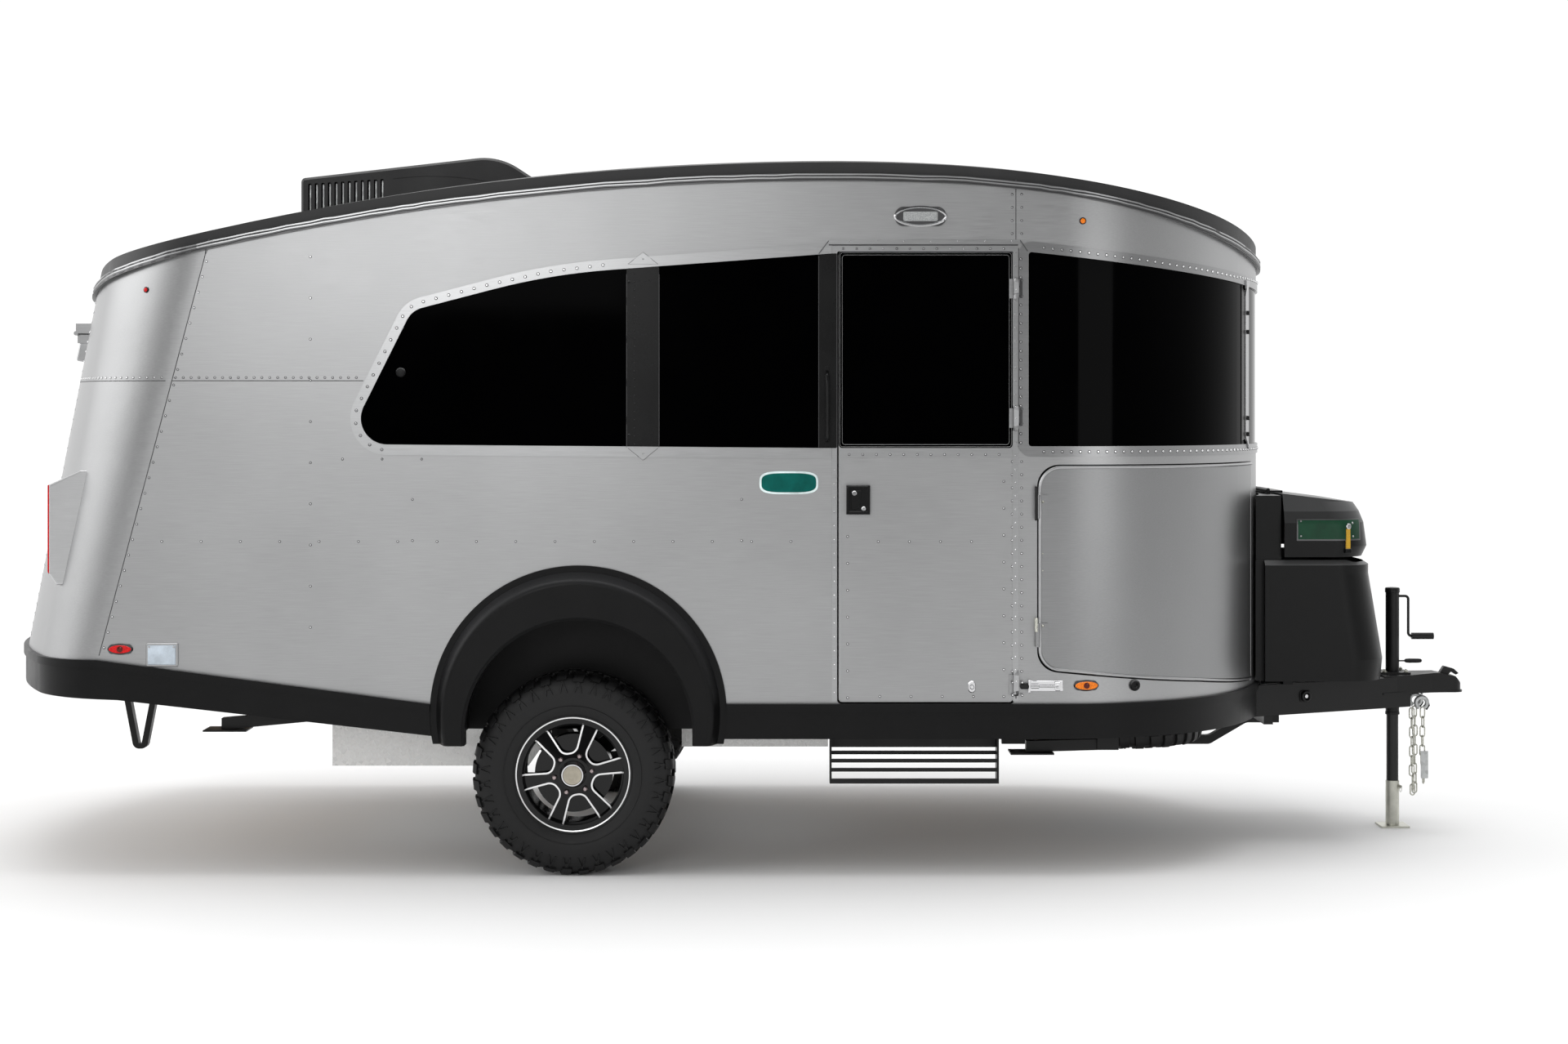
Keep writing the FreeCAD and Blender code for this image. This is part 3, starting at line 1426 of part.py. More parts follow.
def under_lid_top(drop):
    """Everything below the lid's sloping top, lowered by a distance."""
    slope = (size.lid_top_z - size.lid_top_front_z) / (size.lid_top_front_x - size.lid_rear_x)
    rear_x = size.lid_rear_x - size.overrun
    far_x = size.box_foot_x + size.overrun
    top = [(x, size.lid_top_z - (x - size.lid_rear_x) * slope - drop, 0) for x in (far_x, rear_x)]
    return side_prism([(rear_x, envelope_low_z, 0), (far_x, envelope_low_z, 0)] + top, -reach_y, reach_y)


def back_recess(side):
    """The set-back strip on the side of the box, next to the nose."""
    start = side * (half_box - size.box_back_inset)
    low = min(start, side * (half_box + size.overrun))
    return block(Vector(box_rear_x, low, envelope_low_z),
                 Vector(size.box_back_x, low + size.box_back_inset + size.overrun, envelope_high_z))


def box_foot(x, side):
    """A block that carries the box on one rail of the drawbar."""
    rail_y = side * drawbar_y(x)
    width = size.box_foot_width
    return block(Vector(x, rail_y - width, size.rail_top_z),
                 Vector(x + width, rail_y + width, size.box_bottom_z))


def make_front_box():
    """A moulded box on the drawbar: its back follows the nose, and its lid tips forward and up."""
    half = size.box_half_width
    wall = size.box_wall
    nose_room = front_body(size.box_clearance)
    room_half = half - size.box_back_inset - wall
    room = moulded_box(open_stations(BOX_STATIONS, -1), wall)
    room = room.common(block(Vector(box_rear_x, -room_half, size.box_bottom_z + wall),
                             Vector(size.box_foot_x, room_half, envelope_high_z)))
    room = room.cut(front_body(size.box_clearance + wall))
    riser = block(Vector(box_rear_x, -size.box_riser_half_width, size.box_neck_z - wall),
                  Vector(size.box_riser_front_x, size.box_riser_half_width, size.box_riser_top_z))
    outer = moulded_box(BOX_STATIONS).cut([back_recess(-1), back_recess(1)])
    jack_room = Part.makeCylinder(size.jack_foot_side, envelope_high_z, Vector(jack_x, 0, 0))
    feet = [box_foot(x, side) for x in (size.box_rear_foot_x, size.box_front_foot_x) for side in (-1, 1)]
    knuckles = [lid_knuckle(side) for side in (-1, 1)]
    lower = outer.cut([room, jack_room]).fuse(riser).cut(nose_room).fuse(feet + knuckles)
    node("storage_box", feature("StorageBox", lower.removeSplitter()))

    lid = moulded_box(LID_STATIONS, 0, size.lid_rear_x).common(under_lid_top(0))
    inner = moulded_box(open_stations(LID_STATIONS, 0), size.lid_wall, size.lid_rear_x - size.overrun)
    lid = lid.cut(inner.common(under_lid_top(size.lid_wall)))
    barrel = across_barrel(size.lid_hinge_radius, half, size.lid_hinge_x, -half / 2,
                           size.lid_top_z + size.lid_hinge_radius)
    leaf_front_x = size.lid_rear_x + size.trim_width
    leaf_top_z = size.lid_top_z + size.trim_depth
    leaf = side_prism([(size.lid_hinge_x, size.lid_top_z, 0), (size.lid_rear_x, size.lid_top_z, 0),
                       (leaf_front_x, size.lid_top_z - size.lid_wall / 2, 0), (leaf_front_x, leaf_top_z, 0),
                       (size.lid_hinge_x, leaf_top_z, 0)], -half / 2, half / 2)
    node("box_lid", feature("BoxLid", lid.fuse([barrel, leaf])))


# Spare wheel

def make_spare():
    """The spare lies flat between the drawbar rails, on a bent tube."""
    flat_radius = size.tyre_radius - size.shoulder_half_width + size.overrun / 2
    flank = size.spare_flank
    points = [(size.spindle_radius, 0), (flat_radius, 0), (size.tyre_radius, flank),
              (size.tyre_radius, size.spare_width - flank), (flat_radius, size.spare_width),
              (size.flange_radius, size.spare_width), (size.bead_radius, size.spare_width / 2),
              (size.spindle_radius, size.spare_width / 2)]
    polygon = Part.makePolygon([Vector(r, 0, h) for r, h in points + points[:1]])
    spare = Part.Face(polygon).revolve(Vector(), Vector(0, 0, 1), 360)
    spare.translate(Vector(size.spare_x, 0, size.spare_bottom_z))
    node("spare_wheel", feature("SpareWheel", spare))

    tube = size.carrier_tube
    low = size.spare_bottom_z - tube
    high = size.rail_top_z - size.rail_section_height - 2 * tube
    bend_x = size.carrier_front_x + size.carrier_run
    lower = [(size.carrier_rear_x, low, 0), (size.carrier_front_x, low, tube), (bend_x, high, tube),
             (size.carrier_end_x, high, 0)]
    upper = [(x, z + tube, radius) for x, z, radius in reversed(lower)]
    bent = side_prism(lower + upper, -tube / 2, tube / 2)
    stand = block(Vector(size.carrier_rear_x, -tube / 2, low),
                  Vector(size.carrier_rear_x + tube, tube / 2, size.rail_top_z - size.cross_member_height))
    reach = drawbar_y(size.carrier_beam_x)
    beam = block(Vector(size.carrier_beam_x, -reach, high + tube),
                 Vector(size.carrier_beam_x + tube, reach, high + 2 * tube))
    node("spare_carrier", feature("SpareCarrier", bent.fuse([stand, beam]).removeSplitter()))


# Stabilisers

def stabiliser(pivot_x, foot_x, pivot_z, foot_z):
    """One folded leg on the right: an arm from its pivot to its foot plate."""
    way = 1 if foot_x > pivot_x else -1
    width = size.stabiliser_width
    near = -size.stabiliser_y - width / 2
    arm = side_prism([(pivot_x - way * width / 2, pivot_z + width / 2, 0),
                      (foot_x + way * width / 2, foot_z + width, 0), (foot_x + way * width / 2, foot_z, 0),
                      (foot_x - way * width / 2, foot_z, 0),
                      (pivot_x - way * width / 2, pivot_z - width / 2, 0)],
                     near, near + width)
    half_foot = size.stabiliser_foot / 2
    side = size.stabiliser_foot_side
    foot = block(Vector(foot_x - half_foot, near - side, foot_z - size.trim_depth),
                 Vector(foot_x + half_foot, near + width + side, foot_z))
    eye = across_barrel(size.pin_radius + size.pin_play, width + width, pivot_x, near - width / 2, pivot_z)
    return arm.fuse(foot).cut(eye).removeSplitter()


def stabiliser_bracket(pivot_x, pivot_z, top_z):
    width = size.stabiliser_width
    gap = size.corner_radius / 2
    near = -size.stabiliser_y - width / 2
    outer = block(Vector(pivot_x - width, near - gap - size.trim_depth, pivot_z - width / 2),
                  Vector(pivot_x + width, near + width + gap + size.trim_depth, top_z))
    slot = block(Vector(pivot_x - width - width, near - gap, pivot_z - width),
                 Vector(pivot_x + width + width, near + width + gap, pivot_z + width))
    cross = block(Vector(pivot_x - width, -size.stabiliser_y, top_z - size.trim_depth),
                  Vector(pivot_x + width, -size.rail_y - size.rail_section_width / 2, top_z))
    pin = across_barrel(size.pin_radius, width + gap + gap, pivot_x, near - gap, pivot_z)
    return outer.cut(slot).fuse([cross, pin]).removeSplitter()


def make_stabilisers():
    rear_top = size.stabiliser_rear_z + size.bracket_rise
    front_top = size.stabiliser_front_z + size.bracket_rise
    rear = stabiliser(size.rear_stabiliser_pivot_x, size.rear_stabiliser_foot_x,
                      size.stabiliser_rear_z, size.stabiliser_rear_foot_z)
    front = stabiliser(size.front_stabiliser_pivot_x, size.front_stabiliser_foot_x,
                       size.stabiliser_front_z, size.stabiliser_front_foot_z)
    for name, shape in (("rear", rear), ("front", front)):
        node(f"stabiliser_{name}_right", feature(f"Stabiliser{name.title()}Right", shape))
        node(f"stabiliser_{name}_left", feature(f"Stabiliser{name.title()}Left", mirrored(shape)))
    brackets = [stabiliser_bracket(size.rear_stabiliser_pivot_x, size.stabiliser_rear_z, rear_top),
                stabiliser_bracket(size.front_stabiliser_pivot_x, size.stabiliser_front_z, front_top)]
    brackets += [mirrored(shape) for shape in brackets]
    node("stabiliser_brackets", feature("StabiliserBrackets", Part.makeCompound(brackets)))


# Under the floor

def make_skid():
    """A bent strap that keeps the tail off the road, under the two rearmost cross members."""
    thick = size.skid_thickness
    rear_x = size.frame_rear_x - size.skid_overhang
    front_x = rear_x + size.skid_length
    middle_x = (rear_x + front_x) / 2
    half_low = size.skid_low_length / 2
    low_z = size.skid_bottom_z
    rear_z = tail_member_top(size.frame_rear_x) - size.tail_member_height
    front_z = tail_member_top(skid_member_x) - size.tail_member_height
    outer_round = size.skid_low_length / 2
    outline = [(rear_x, rear_z, 0), (middle_x - half_low, low_z, outer_round),
               (middle_x + half_low, low_z, outer_round), (front_x, front_z, 0),
               (front_x - size.skid_foot, front_z, 0), (middle_x + half_low - thick, low_z + thick, 0),
               (middle_x - half_low + thick, low_z + thick, 0), (rear_x + size.skid_foot, rear_z, 0)]
    node("skid_strap", feature("SkidStrap", side_prism(outline, -size.skid_width / 2, size.skid_width / 2)))


def make_tanks():
    """Galvanised pans that cover the water tanks."""
    top = "rail_top_z - cross_member_height"
    rear = box("RearPan", "rear_pan_length", "pan_width", top + " - rear_pan_bottom_z",
               "rear_pan_x", "-pan_width / 2", "rear_pan_bottom_z")
    front = box("FrontPan", "front_pan_length", "pan_width", top + " - front_pan_bottom_z",
                "front_pan_x", "-pan_width / 2", "front_pan_bottom_z")
    node("tank_pans", fuse("TankPans", rear, front))


def make_step():
    """The folded step under the door: two side plates, a cover panel and four bars between them."""
    pieces = []
    for name, x in (("Rear", "step_rear_x"), ("Front", "step_rear_x + step_length - step_side")):
        pieces.append(box(f"StepSide{name}", "step_side", "step_side_depth", "step_top_z - step_low_bar_z", x,
                          "-step_front_y", "step_low_bar_z"))
        pieces.append(box(f"StepHanger{name}", "step_side", "step_front_y - rail_y - rail_section_width / 2",
                          "step_top_z - step_hanger_z", x, "-step_front_y", "step_hanger_z"))
    pieces.append(box("StepPanel", "step_length", "step_panel", "step_top_z - step_panel_low_z",
                      "step_rear_x", "-step_back_y", "step_panel_low_z"))
    for name, level, across in (("High", "step_high_bar_z", "step_back_y"),
                                ("Link", "step_link_bar_z", "step_front_y"),
                                ("Mid", "step_mid_bar_z", "step_front_y")):
        pieces.append(box(f"Step{name}Bar", "step_length", "step_bar_depth", "step_bar", "step_rear_x",
                          f"-{across}", level))
    pieces.append(box("StepLowBar", "step_length", "step_bar_depth", "step_low_bar", "step_rear_x",
                      "-step_front_y", "step_low_bar_z"))
    node("entry_step", fuse("EntryStep", *pieces))


# Roof unit, lamps and fittings

def make_cooler():
    """The roof unit: a long hood with a round brow, louvres on both sides and a groove ahead of them."""
    half = size.cooler_width / 2
    corners = [(size.cooler_rear_x, size.cooler_base_z, 0), (size.cooler_front_x, size.cooler_base_z, 0),
               (size.cooler_front_x, size.cooler_front_z, 0),
               (size.cooler_brow_x, size.cooler_brow_z, size.cooler_brow_radius),
               (size.cooler_rear_x, size.cooler_rear_z, size.cooler_corner)]
    hood = side_prism(corners, -half, half)
    long_edges = [edge for edge in hood.Edges if edge.BoundBox.ZMin > size.cooler_front_z
                  and edge.BoundBox.YLength < size.trim_depth]
    hood = hood.makeChamfer(size.cooler_edge, long_edges)
    slots = [louvre(index) for index in range(int(size.louvre_count))]
    slots += [mirrored(slot) for slot in slots]
    unit = hood.cut(slots + [cooler_groove(), mirrored(cooler_groove())]).cut(roof_block(0))
    node("air_conditioner", feature("AirConditioner", unit))


def louvre(index):
    """One upright slot in the right side of the hood, its top on a line that rises forwards."""
    x = size.louvre_first_x + index * size.louvre_pitch
    top = size.louvre_top_z + size.louvre_rise * index / size.louvre_count
    outer = -size.cooler_width / 2
    far_x = x + size.louvre_width
    corners = [(x, size.louvre_low_z, 0), (far_x, size.louvre_low_z, 0), (far_x, top, size.louvre_round),
               (x, top, size.louvre_round)]
    return side_prism(corners, outer - size.overrun, outer + size.louvre_depth)


def cooler_groove():
    """A shallow groove that sweeps from the last louvre down to the front of the hood."""
    start = Vector(size.louvre_first_x + (size.louvre_count + 1) * size.louvre_pitch, 0,
                   size.louvre_top_z + size.louvre_rise)
    middle = Vector(size.cooler_brow_x - size.cooler_brow_radius, 0, start.z + size.louvre_rise / 2)
    finish = Vector(size.cooler_brow_x, 0, start.z - size.louvre_rise)
    outer = -size.cooler_width / 2
    drop = Vector(0, 0, -size.cooler_groove)
    edges = [Part.Arc(start, middle, finish).toShape(), Part.makeLine(finish, finish + drop),
             Part.Arc(finish + drop, middle + drop, start + drop).toShape(),
             Part.makeLine(start + drop, start)]
    groove = Part.Face(Part.Wire(edges))
    groove.translate(Vector(0, outer - size.overrun, 0))
    return groove.extrude(Vector(0, size.overrun + size.cooler_groove, 0))


lamp_far_y = half_width - size.tail_lamp_inset
lamp_near_y = lamp_far_y - size.tail_lamp_width


def lamp_wedge():
    """The side view of a tail lamp's housing, run across the lamp's whole width."""
    inside_x = size.tail_seam_x + size.overrun
    far_x = size.tail_tip_x
    low_x, low_z = size.tail_lamp_low_x, size.tail_lamp_low_z
    top_x, top_z = size.tail_lamp_top_x, size.tail_lamp_top_z
    low_slope = (low_z - size.tail_lamp_low_rear_z) / (low_x - size.tail_lamp_rear_x)
    top_slope = (top_z - size.tail_lamp_high_rear_z) / (top_x - size.tail_lamp_rear_x)
    profile = [(inside_x, low_z, 0), (low_x, low_z, 0), (far_x, low_z + (far_x - low_x) * low_slope, 0),
               (far_x, top_z + (far_x - top_x) * top_slope, 0), (top_x, top_z, 0), (inside_x, top_z, 0)]
    return side_prism(profile, -lamp_far_y, -lamp_near_y)


def lamp_back(out, margin):
    """A block that ends at the lamp's swept back, moved out by a distance."""
    inside_x = size.tail_seam_x + size.overrun
    rear_x = size.tail_lamp_rear_x - out
    far_y = margin - lamp_far_y
    near_y = -lamp_near_y - margin
    outline = [(inside_x, far_y, 0), (rear_x, far_y, 0), (rear_x - size.tail_lamp_sweep, near_y, 0),
               (inside_x, near_y, 0)]
    return plan_prism(outline, size.tail_lamp_low_z, size.tail_lamp_top_z)


def runs_along_side(edge):
    """True for the edges of the housing's outer side that the eye meets behind the skin."""
    bounds = edge.BoundBox
    on_side = abs(bounds.YMin + lamp_far_y) < size.trim_depth and bounds.YLength < size.trim_depth
    return on_side and bounds.XMin < size.tail_seam_x


def make_tail_lamps():
    """Tail lamps: wedge-shaped housings on the tail's corners, each with an upright lens on its back."""
    housing = lamp_wedge().common(lamp_back(0, 0))
    rounded_edges = [edge for edge in housing.Edges if runs_along_side(edge)]
    housing = housing.makeFillet(size.tail_lamp_round, rounded_edges).cut(tail_body())
    lens = lamp_wedge().common(lamp_back(size.tail_lamp_lens, size.tail_lamp_round))
    lens = lens.cut([lamp_back(0, 0), tail_body()])
    for name, shape in (("lamp", housing), ("lens", lens)):
        node(f"tail_{name}_right", feature(f"Tail{name.title()}Right", shape))
        node(f"tail_{name}_left", feature(f"Tail{name.title()}Left", mirrored(shape)))


def side_lamp(x, z, half_length, half_height):
    """The outline of an oval lamp on the right side, as a solid that runs through the wall."""
    corners = [(x + u * half_length, z + v * half_height, half_height - size.trim_depth / 2)
               for u, v in ((-1, -1), (1, -1), (1, 1), (-1, 1))]
    return side_prism(corners, -reach_y, 0)


def make_side_lamps():
    """Oval lamps that follow the skin: one over the door and a low one at each corner."""
    proud = size.side_lamp_proud
    skin = front_skin(0, proud, size.marker_rear_x - size.marker_half_length - size.overrun)
    porch = skin.common(side_lamp(size.porch_lamp_x, size.porch_lamp_z, size.porch_lamp_half_length,
                                  size.porch_lamp_half_height))
    front, rear = [skin.common(side_lamp(x, z, size.marker_half_length, size.marker_half_height))
                   for x, z in ((size.marker_front_x, size.marker_front_z),
                                (size.marker_rear_x, size.marker_rear_z))]
    lamps = Part.makeCompound([porch, front, rear, mirrored(front), mirrored(rear)])
    node("side_lamps", feature("SideLamps", lamps))


def make_door_handle():
    plate = box("HandlePlate", "handle_length", "handle_depth", "handle_height",
                "handle_x", "-body_width / 2 - handle_depth", "handle_z")
    node("door_handle", plate)


def link_ring(upright):
    """One chain link, made of square bar."""
    half = size.link_length / 2
    bar = size.link_bar
    outer = rectangle(-half, half, -size.link_width / 2, size.link_width / 2, size.link_round)
    inner = rectangle(-half + bar, half - bar, -size.link_width / 2 + bar, size.link_width / 2 - bar, bar / 2)

    def lay(point):
        return Vector(point.y, -bar / 2, point.x) if upright else Vector(-bar / 2, point.y, point.x)

    push = Vector(0, bar, 0) if upright else Vector(bar, 0, 0)
    return rounded_face(outer, lay).extrude(push).cut(rounded_face(inner, lay).extrude(push))


def make_chains():
    links = []
    pitch = size.link_length - 2 * size.link_bar - size.spindle_play
    strands = ((-1, size.link_count), (1, size.link_count), (0, size.short_link_count))
    for order, (side, count) in enumerate(strands):
        for index in range(int(count)):
            link = link_ring(index % 2 == 0)
            link.translate(Vector(size.chain_x + order * size.chain_spacing, side * size.chain_y,
                                  size.chain_top_z - size.link_length / 2 - index * pitch))
            links.append(link)
    node("safety_chains", feature("SafetyChains", Part.makeCompound(links)))


make_walls()
make_band()
make_floor()
make_roof()
make_windows()
make_trims()
make_entry_door()
make_door_handle()
make_storage_doors()
make_rear_hatch()
make_arches()
make_wheels()
chassis = make_chassis()
make_axle()
make_coupler(chassis)
make_jack()
make_front_box()
make_spare()
make_stabilisers()
make_skid()
make_tanks()
make_step()
make_cooler()
make_tail_lamps()
make_side_lamps()
make_chains()
doc.recompute()

for item in doc.Objects:
    if "Invalid" in item.State or "Error" in item.State:
        raise SystemExit(f"{item.Label} did not rebuild: {item.State}")
for label, item in NODES.items():
    if item.Shape.isNull() or not item.Shape.isValid() or not item.Shape.Solids:
        raise SystemExit(f"{label} has no valid solid")

os.makedirs("parts", exist_ok=True)
for label, item in NODES.items():
    item.Shape.exportStep(f"parts/{label}.step")
    print(label, len(item.Shape.Solids), "solids", round(item.Shape.Volume / 1e6, 2), "litres")
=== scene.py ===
import math
import random

import bpy
from mathutils import Matrix, Vector
from mathutils.bvhtree import BVHTree


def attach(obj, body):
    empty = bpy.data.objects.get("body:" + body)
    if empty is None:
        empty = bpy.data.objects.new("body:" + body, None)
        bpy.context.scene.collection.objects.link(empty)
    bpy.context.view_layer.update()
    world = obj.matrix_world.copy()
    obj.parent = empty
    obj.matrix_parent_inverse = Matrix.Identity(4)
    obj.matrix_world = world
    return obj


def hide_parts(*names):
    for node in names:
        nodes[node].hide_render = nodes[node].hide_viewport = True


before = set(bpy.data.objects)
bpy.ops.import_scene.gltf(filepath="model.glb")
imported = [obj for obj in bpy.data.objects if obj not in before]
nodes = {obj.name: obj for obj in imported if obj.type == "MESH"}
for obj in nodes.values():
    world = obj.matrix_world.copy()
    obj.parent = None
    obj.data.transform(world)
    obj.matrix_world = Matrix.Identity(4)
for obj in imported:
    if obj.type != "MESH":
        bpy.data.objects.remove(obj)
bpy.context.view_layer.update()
scene = bpy.context.scene

AHEAD = Vector((1, 0, 0))
RIGHT = Vector((0, -1, 0))
UP = Vector((0, 0, 1))
SIDES = (-1, 1)
SIDE_NAMES = ((-1, "right"), (1, "left"))

# Camera: level, with its horizon above the middle of the picture.

CAMERA_PLACE = Vector((0.1295, -10.5, 1.804))
FOCAL_PX = 3003
IMAGE_WIDTH_PX = 1920
IMAGE_HEIGHT_PX = 1278
HORIZON_PX = 495
SENSOR_MM = 36
CLIP_END = 200


def make_camera():
    data = bpy.data.cameras.new("camera")
    data.sensor_width = SENSOR_MM
    data.lens = FOCAL_PX * SENSOR_MM / IMAGE_WIDTH_PX
    data.shift_y = -(IMAGE_HEIGHT_PX / 2 - HORIZON_PX) / IMAGE_WIDTH_PX
    data.clip_end = CLIP_END
    camera = bpy.data.objects.new("camera", data)
    camera.location = CAMERA_PLACE
    camera.rotation_euler = (math.pi / 2, 0, 0)
    scene.collection.objects.link(camera)
    scene.camera = camera


make_camera()


# Finishes

def shader_node(tree, kind, settings=None, **inputs):
    """A new shader node. Each input is a plain value or the output of another node."""
    item = tree.nodes.new("ShaderNode" + kind)
    for key, value in (settings or {}).items():
        setattr(item, key, value)
    for key, value in inputs.items():
        socket = item.inputs[int(key[3:]) if key.startswith("at_") else key.replace("_", " ")]
        if isinstance(value, bpy.types.NodeSocket):
            tree.links.new(value, socket)
        else:
            socket.default_value = value
    return item


def ramp(tree, value, start, end, low, high, settings=None):
    """A number that runs from low to high as the value runs from start to end."""
    item = shader_node(tree, "MapRange", settings, at_0=value, at_1=start, at_2=end, at_3=low, at_4=high)
    return item.outputs[0]


class Finish:
    """A material with its shader and its own coordinates, and short ways to texture it."""

    FACTOR_LOW = 0.3
    FACTOR_HIGH = 0.7

    def __init__(self, name, **settings):
        self.material = bpy.data.materials.new(name)
        self.material.use_nodes = True
        self.tree = self.material.node_tree
        self.shader = self.tree.nodes["Principled BSDF"]
        for key, value in settings.items():
            self.shader.inputs[key.replace("_", " ")].default_value = value
        self.place = self.add("TexCoord").outputs["Object"]

    def add(self, kind, settings=None, **inputs):
        return shader_node(self.tree, kind, settings, **inputs)

    def link(self, value, socket):
        self.tree.links.new(value, self.shader.inputs[socket])

    def noise(self, scale, detail=2.0, roughness=0.5, stretch=None):
        place = self.add("Mapping", Vector=self.place, Scale=stretch).outputs[0] if stretch else self.place
        item = self.add("TexNoise", Vector=place, Scale=scale, Detail=detail, Roughness=roughness)
        return item.outputs["Fac"]

    def cells(self, scale, output="Distance"):
        return self.add("TexVoronoi", Vector=self.place, Scale=scale).outputs[output]

    def mix(self, share, first, second):
        return self.add("Mix", {"data_type": "FLOAT"}, at_0=share, at_2=first, at_3=second).outputs[0]

    def mix_colours(self, share, first, second):
        return self.add("MixRGB", Fac=share, Color1=first, Color2=second).outputs[0]

    def tinted(self, factor, colour, low, high):
        """A colour whose lightness runs from low to high times its own with the factor."""
        item = self.add("ValToRGB", Fac=factor)
        places = (self.FACTOR_LOW, self.FACTOR_HIGH)
        for element, place, share in zip(item.color_ramp.elements, places, (low, high)):
            element.position = place
            element.color = [channel * share for channel in colour] + [1]
        return item.outputs[0]

    def tint(self, factor, colour, low, high):
        self.link(self.tinted(factor, colour, low, high), "Base Color")

    def roughen(self, factor, low, high):
        self.link(ramp(self.tree, factor, self.FACTOR_LOW, self.FACTOR_HIGH, low, high), "Roughness")

    def bump(self, *layers):
        """Bump layers, each with its height, its strength and its depth in metres."""
        normal = None
        for height, strength, depth in layers:
            item = self.add("Bump", Height=height, Strength=strength, Distance=depth)
            if normal:
                self.tree.links.new(normal, item.inputs["Normal"])
            normal = item.outputs[0]
        self.link(normal, "Normal")


def brushed_metal(name, colour, roughness, brush, waves, strength=0.08):
    """Rolled or brushed metal: fine streaks along X, cloudy tint and slow waves in the sheet."""
    look = Finish(name, Metallic=1.0)
    streaks = look.noise(1.0, 4.0, 0.6, (brush * 0.02, brush, brush))
    cross = look.noise(1.0, 3.0, 0.6, (brush, brush, brush * 0.03))
    clouds = look.noise(1.6, 3.0, 0.55)
    ripple = look.noise(2.4, 1.0, 0.4)
    look.tint(look.mix(0.4, streaks, clouds), colour, 0.90, 1.10)
    look.roughen(streaks, roughness * 0.92, roughness * 1.12)
    look.bump((ripple, waves, 0.012), (streaks, strength, 0.0004), (cross, strength * 0.6, 0.0004))
    return look


def moulded_plastic(name, colour, roughness, grain_scale, grain, gloss=0.35):
    """Moulded plastic: a fine leather-like grain and a slight cloudiness."""
    look = Finish(name, Specular_IOR_Level=gloss)
    clouds = look.noise(5.0, 4.0, 0.6)
    look.tint(clouds, colour, 0.82, 1.22)
    look.roughen(clouds, roughness * 0.9, roughness * 1.15)
    look.bump((look.cells(grain_scale), grain, 0.0006),
              (look.noise(grain_scale * 1.7, 3.0, 0.6), grain * 0.6, 0.0004))
    return look


def painted_sheen_plastic(name, colour, painted_sheen_colour, *settings):
    """Moulded plastic with a painted highlight: paler where it faces up, as if lit from above."""
    look = moulded_plastic(name, colour, *settings)
    facing = look.add("NewGeometry").outputs["Normal"]
    upward = look.add("SeparateXYZ", Vector=facing).outputs["Z"]
    # Painted highlight: faces that turn up are mixed towards the paler sheen colour.
    dust_and_sheen = ramp(look.tree, upward, 0.10, 0.60, 0.0, 1.0)
    cloudy = look.shader.inputs["Base Color"].links[0].from_socket
    look.link(look.mix_colours(dust_and_sheen, cloudy, (*painted_sheen_colour, 1)), "Base Color")
    return look


def painted_metal(name, colour, roughness, gloss=0.4):
    """Satin paint over steel, with a fine orange peel and dusty patches."""
    look = Finish(name, Specular_IOR_Level=gloss)
    dust_and_sheen = look.noise(9.0, 5.0, 0.65)
    look.tint(dust_and_sheen, colour, 0.8, 1.5)
    look.roughen(dust_and_sheen, roughness * 0.85, roughness * 1.25)
    look.bump((look.noise(420.0), 0.12, 0.0005))
    return look


def spangled_zinc(name, colour, roughness, scale):
    """Zinc coating: crystal patches that differ a little in lightness and gloss."""
    look = Finish(name, Metallic=1.0)
    level = look.add("SeparateColor", Color=look.cells(scale, "Color")).outputs[0]
    stain = look.noise(14.0, 4.0, 0.6)
    mixed = look.mix(0.5, level, stain)
    look.tint(mixed, colour, 0.78, 1.12)
    look.roughen(mixed, roughness * 0.8, roughness * 1.2)
    look.bump((stain, 0.1, 0.001))
    return look


def tinted_glass(name, colour, gloss):
    """Dark tinted glass that lets almost nothing through."""
    look = Finish(name, Specular_IOR_Level=gloss)
    film = look.noise(3.0, 3.0)
    look.tint(film, colour, 0.7, 1.3)
    look.roughen(film, 0.05, 0.09)
    look.bump((look.noise(1.2, 1.0), 0.03, 0.01))
    return look


def lens_finish(name, colour, glow=0.0):
    """A moulded lamp lens with small prisms under a clear surface."""
    look = Finish(name, Specular_IOR_Level=0.25, Coat_Weight=0.1, Coat_Roughness=0.06,
                  Emission_Strength=glow, Emission_Color=[*colour, 1])
    prisms = look.cells(260.0)
    look.tint(prisms, colour, 0.75, 1.15)
    look.roughen(prisms, 0.14, 0.26)
    look.bump((prisms, 0.25, 0.0006))
    return look


def rubber_finish(name, colour):
    """Tyre rubber, matt, with dusty patches that differ at random."""
    look = Finish(name, Specular_IOR_Level=0.32)
    dust_and_sheen = look.noise(26.0, 6.0, 0.7)
    look.tint(dust_and_sheen, colour, 0.65, 1.7)
    look.roughen(dust_and_sheen, 0.40, 0.62)
    look.bump((look.noise(380.0, 3.0), 0.2, 0.0005))
    return look


def woven_strap(name, colour):
    """Flat webbing with a fine twill."""
    look = Finish(name, Specular_IOR_Level=0.3, Sheen_Weight=0.3)
    twill = {"bands_direction": "DIAGONAL"}
    wave = look.add("TexWave", twill, Vector=look.place, Scale=260.0, Distortion=0.4).outputs["Fac"]
    look.tint(wave, colour, 0.7, 1.15)
    look.roughen(wave, 0.55, 0.7)
    look.bump((wave, 0.4, 0.0008))
    return look


def plywood_finish(name, colour):
    look = Finish(name, Roughness=0.7)
    grain = look.noise(1.0, 4.0, 0.6, (3, 60, 60))
    look.tint(grain, colour, 0.7, 1.2)
    look.bump((grain, 0.2, 0.001))
    return look


GLASS = (0.0004, 0.0004, 0.0005)
PAINT = (0.004, 0.004, 0.0041)
ZINC = (0.56, 0.56, 0.50)

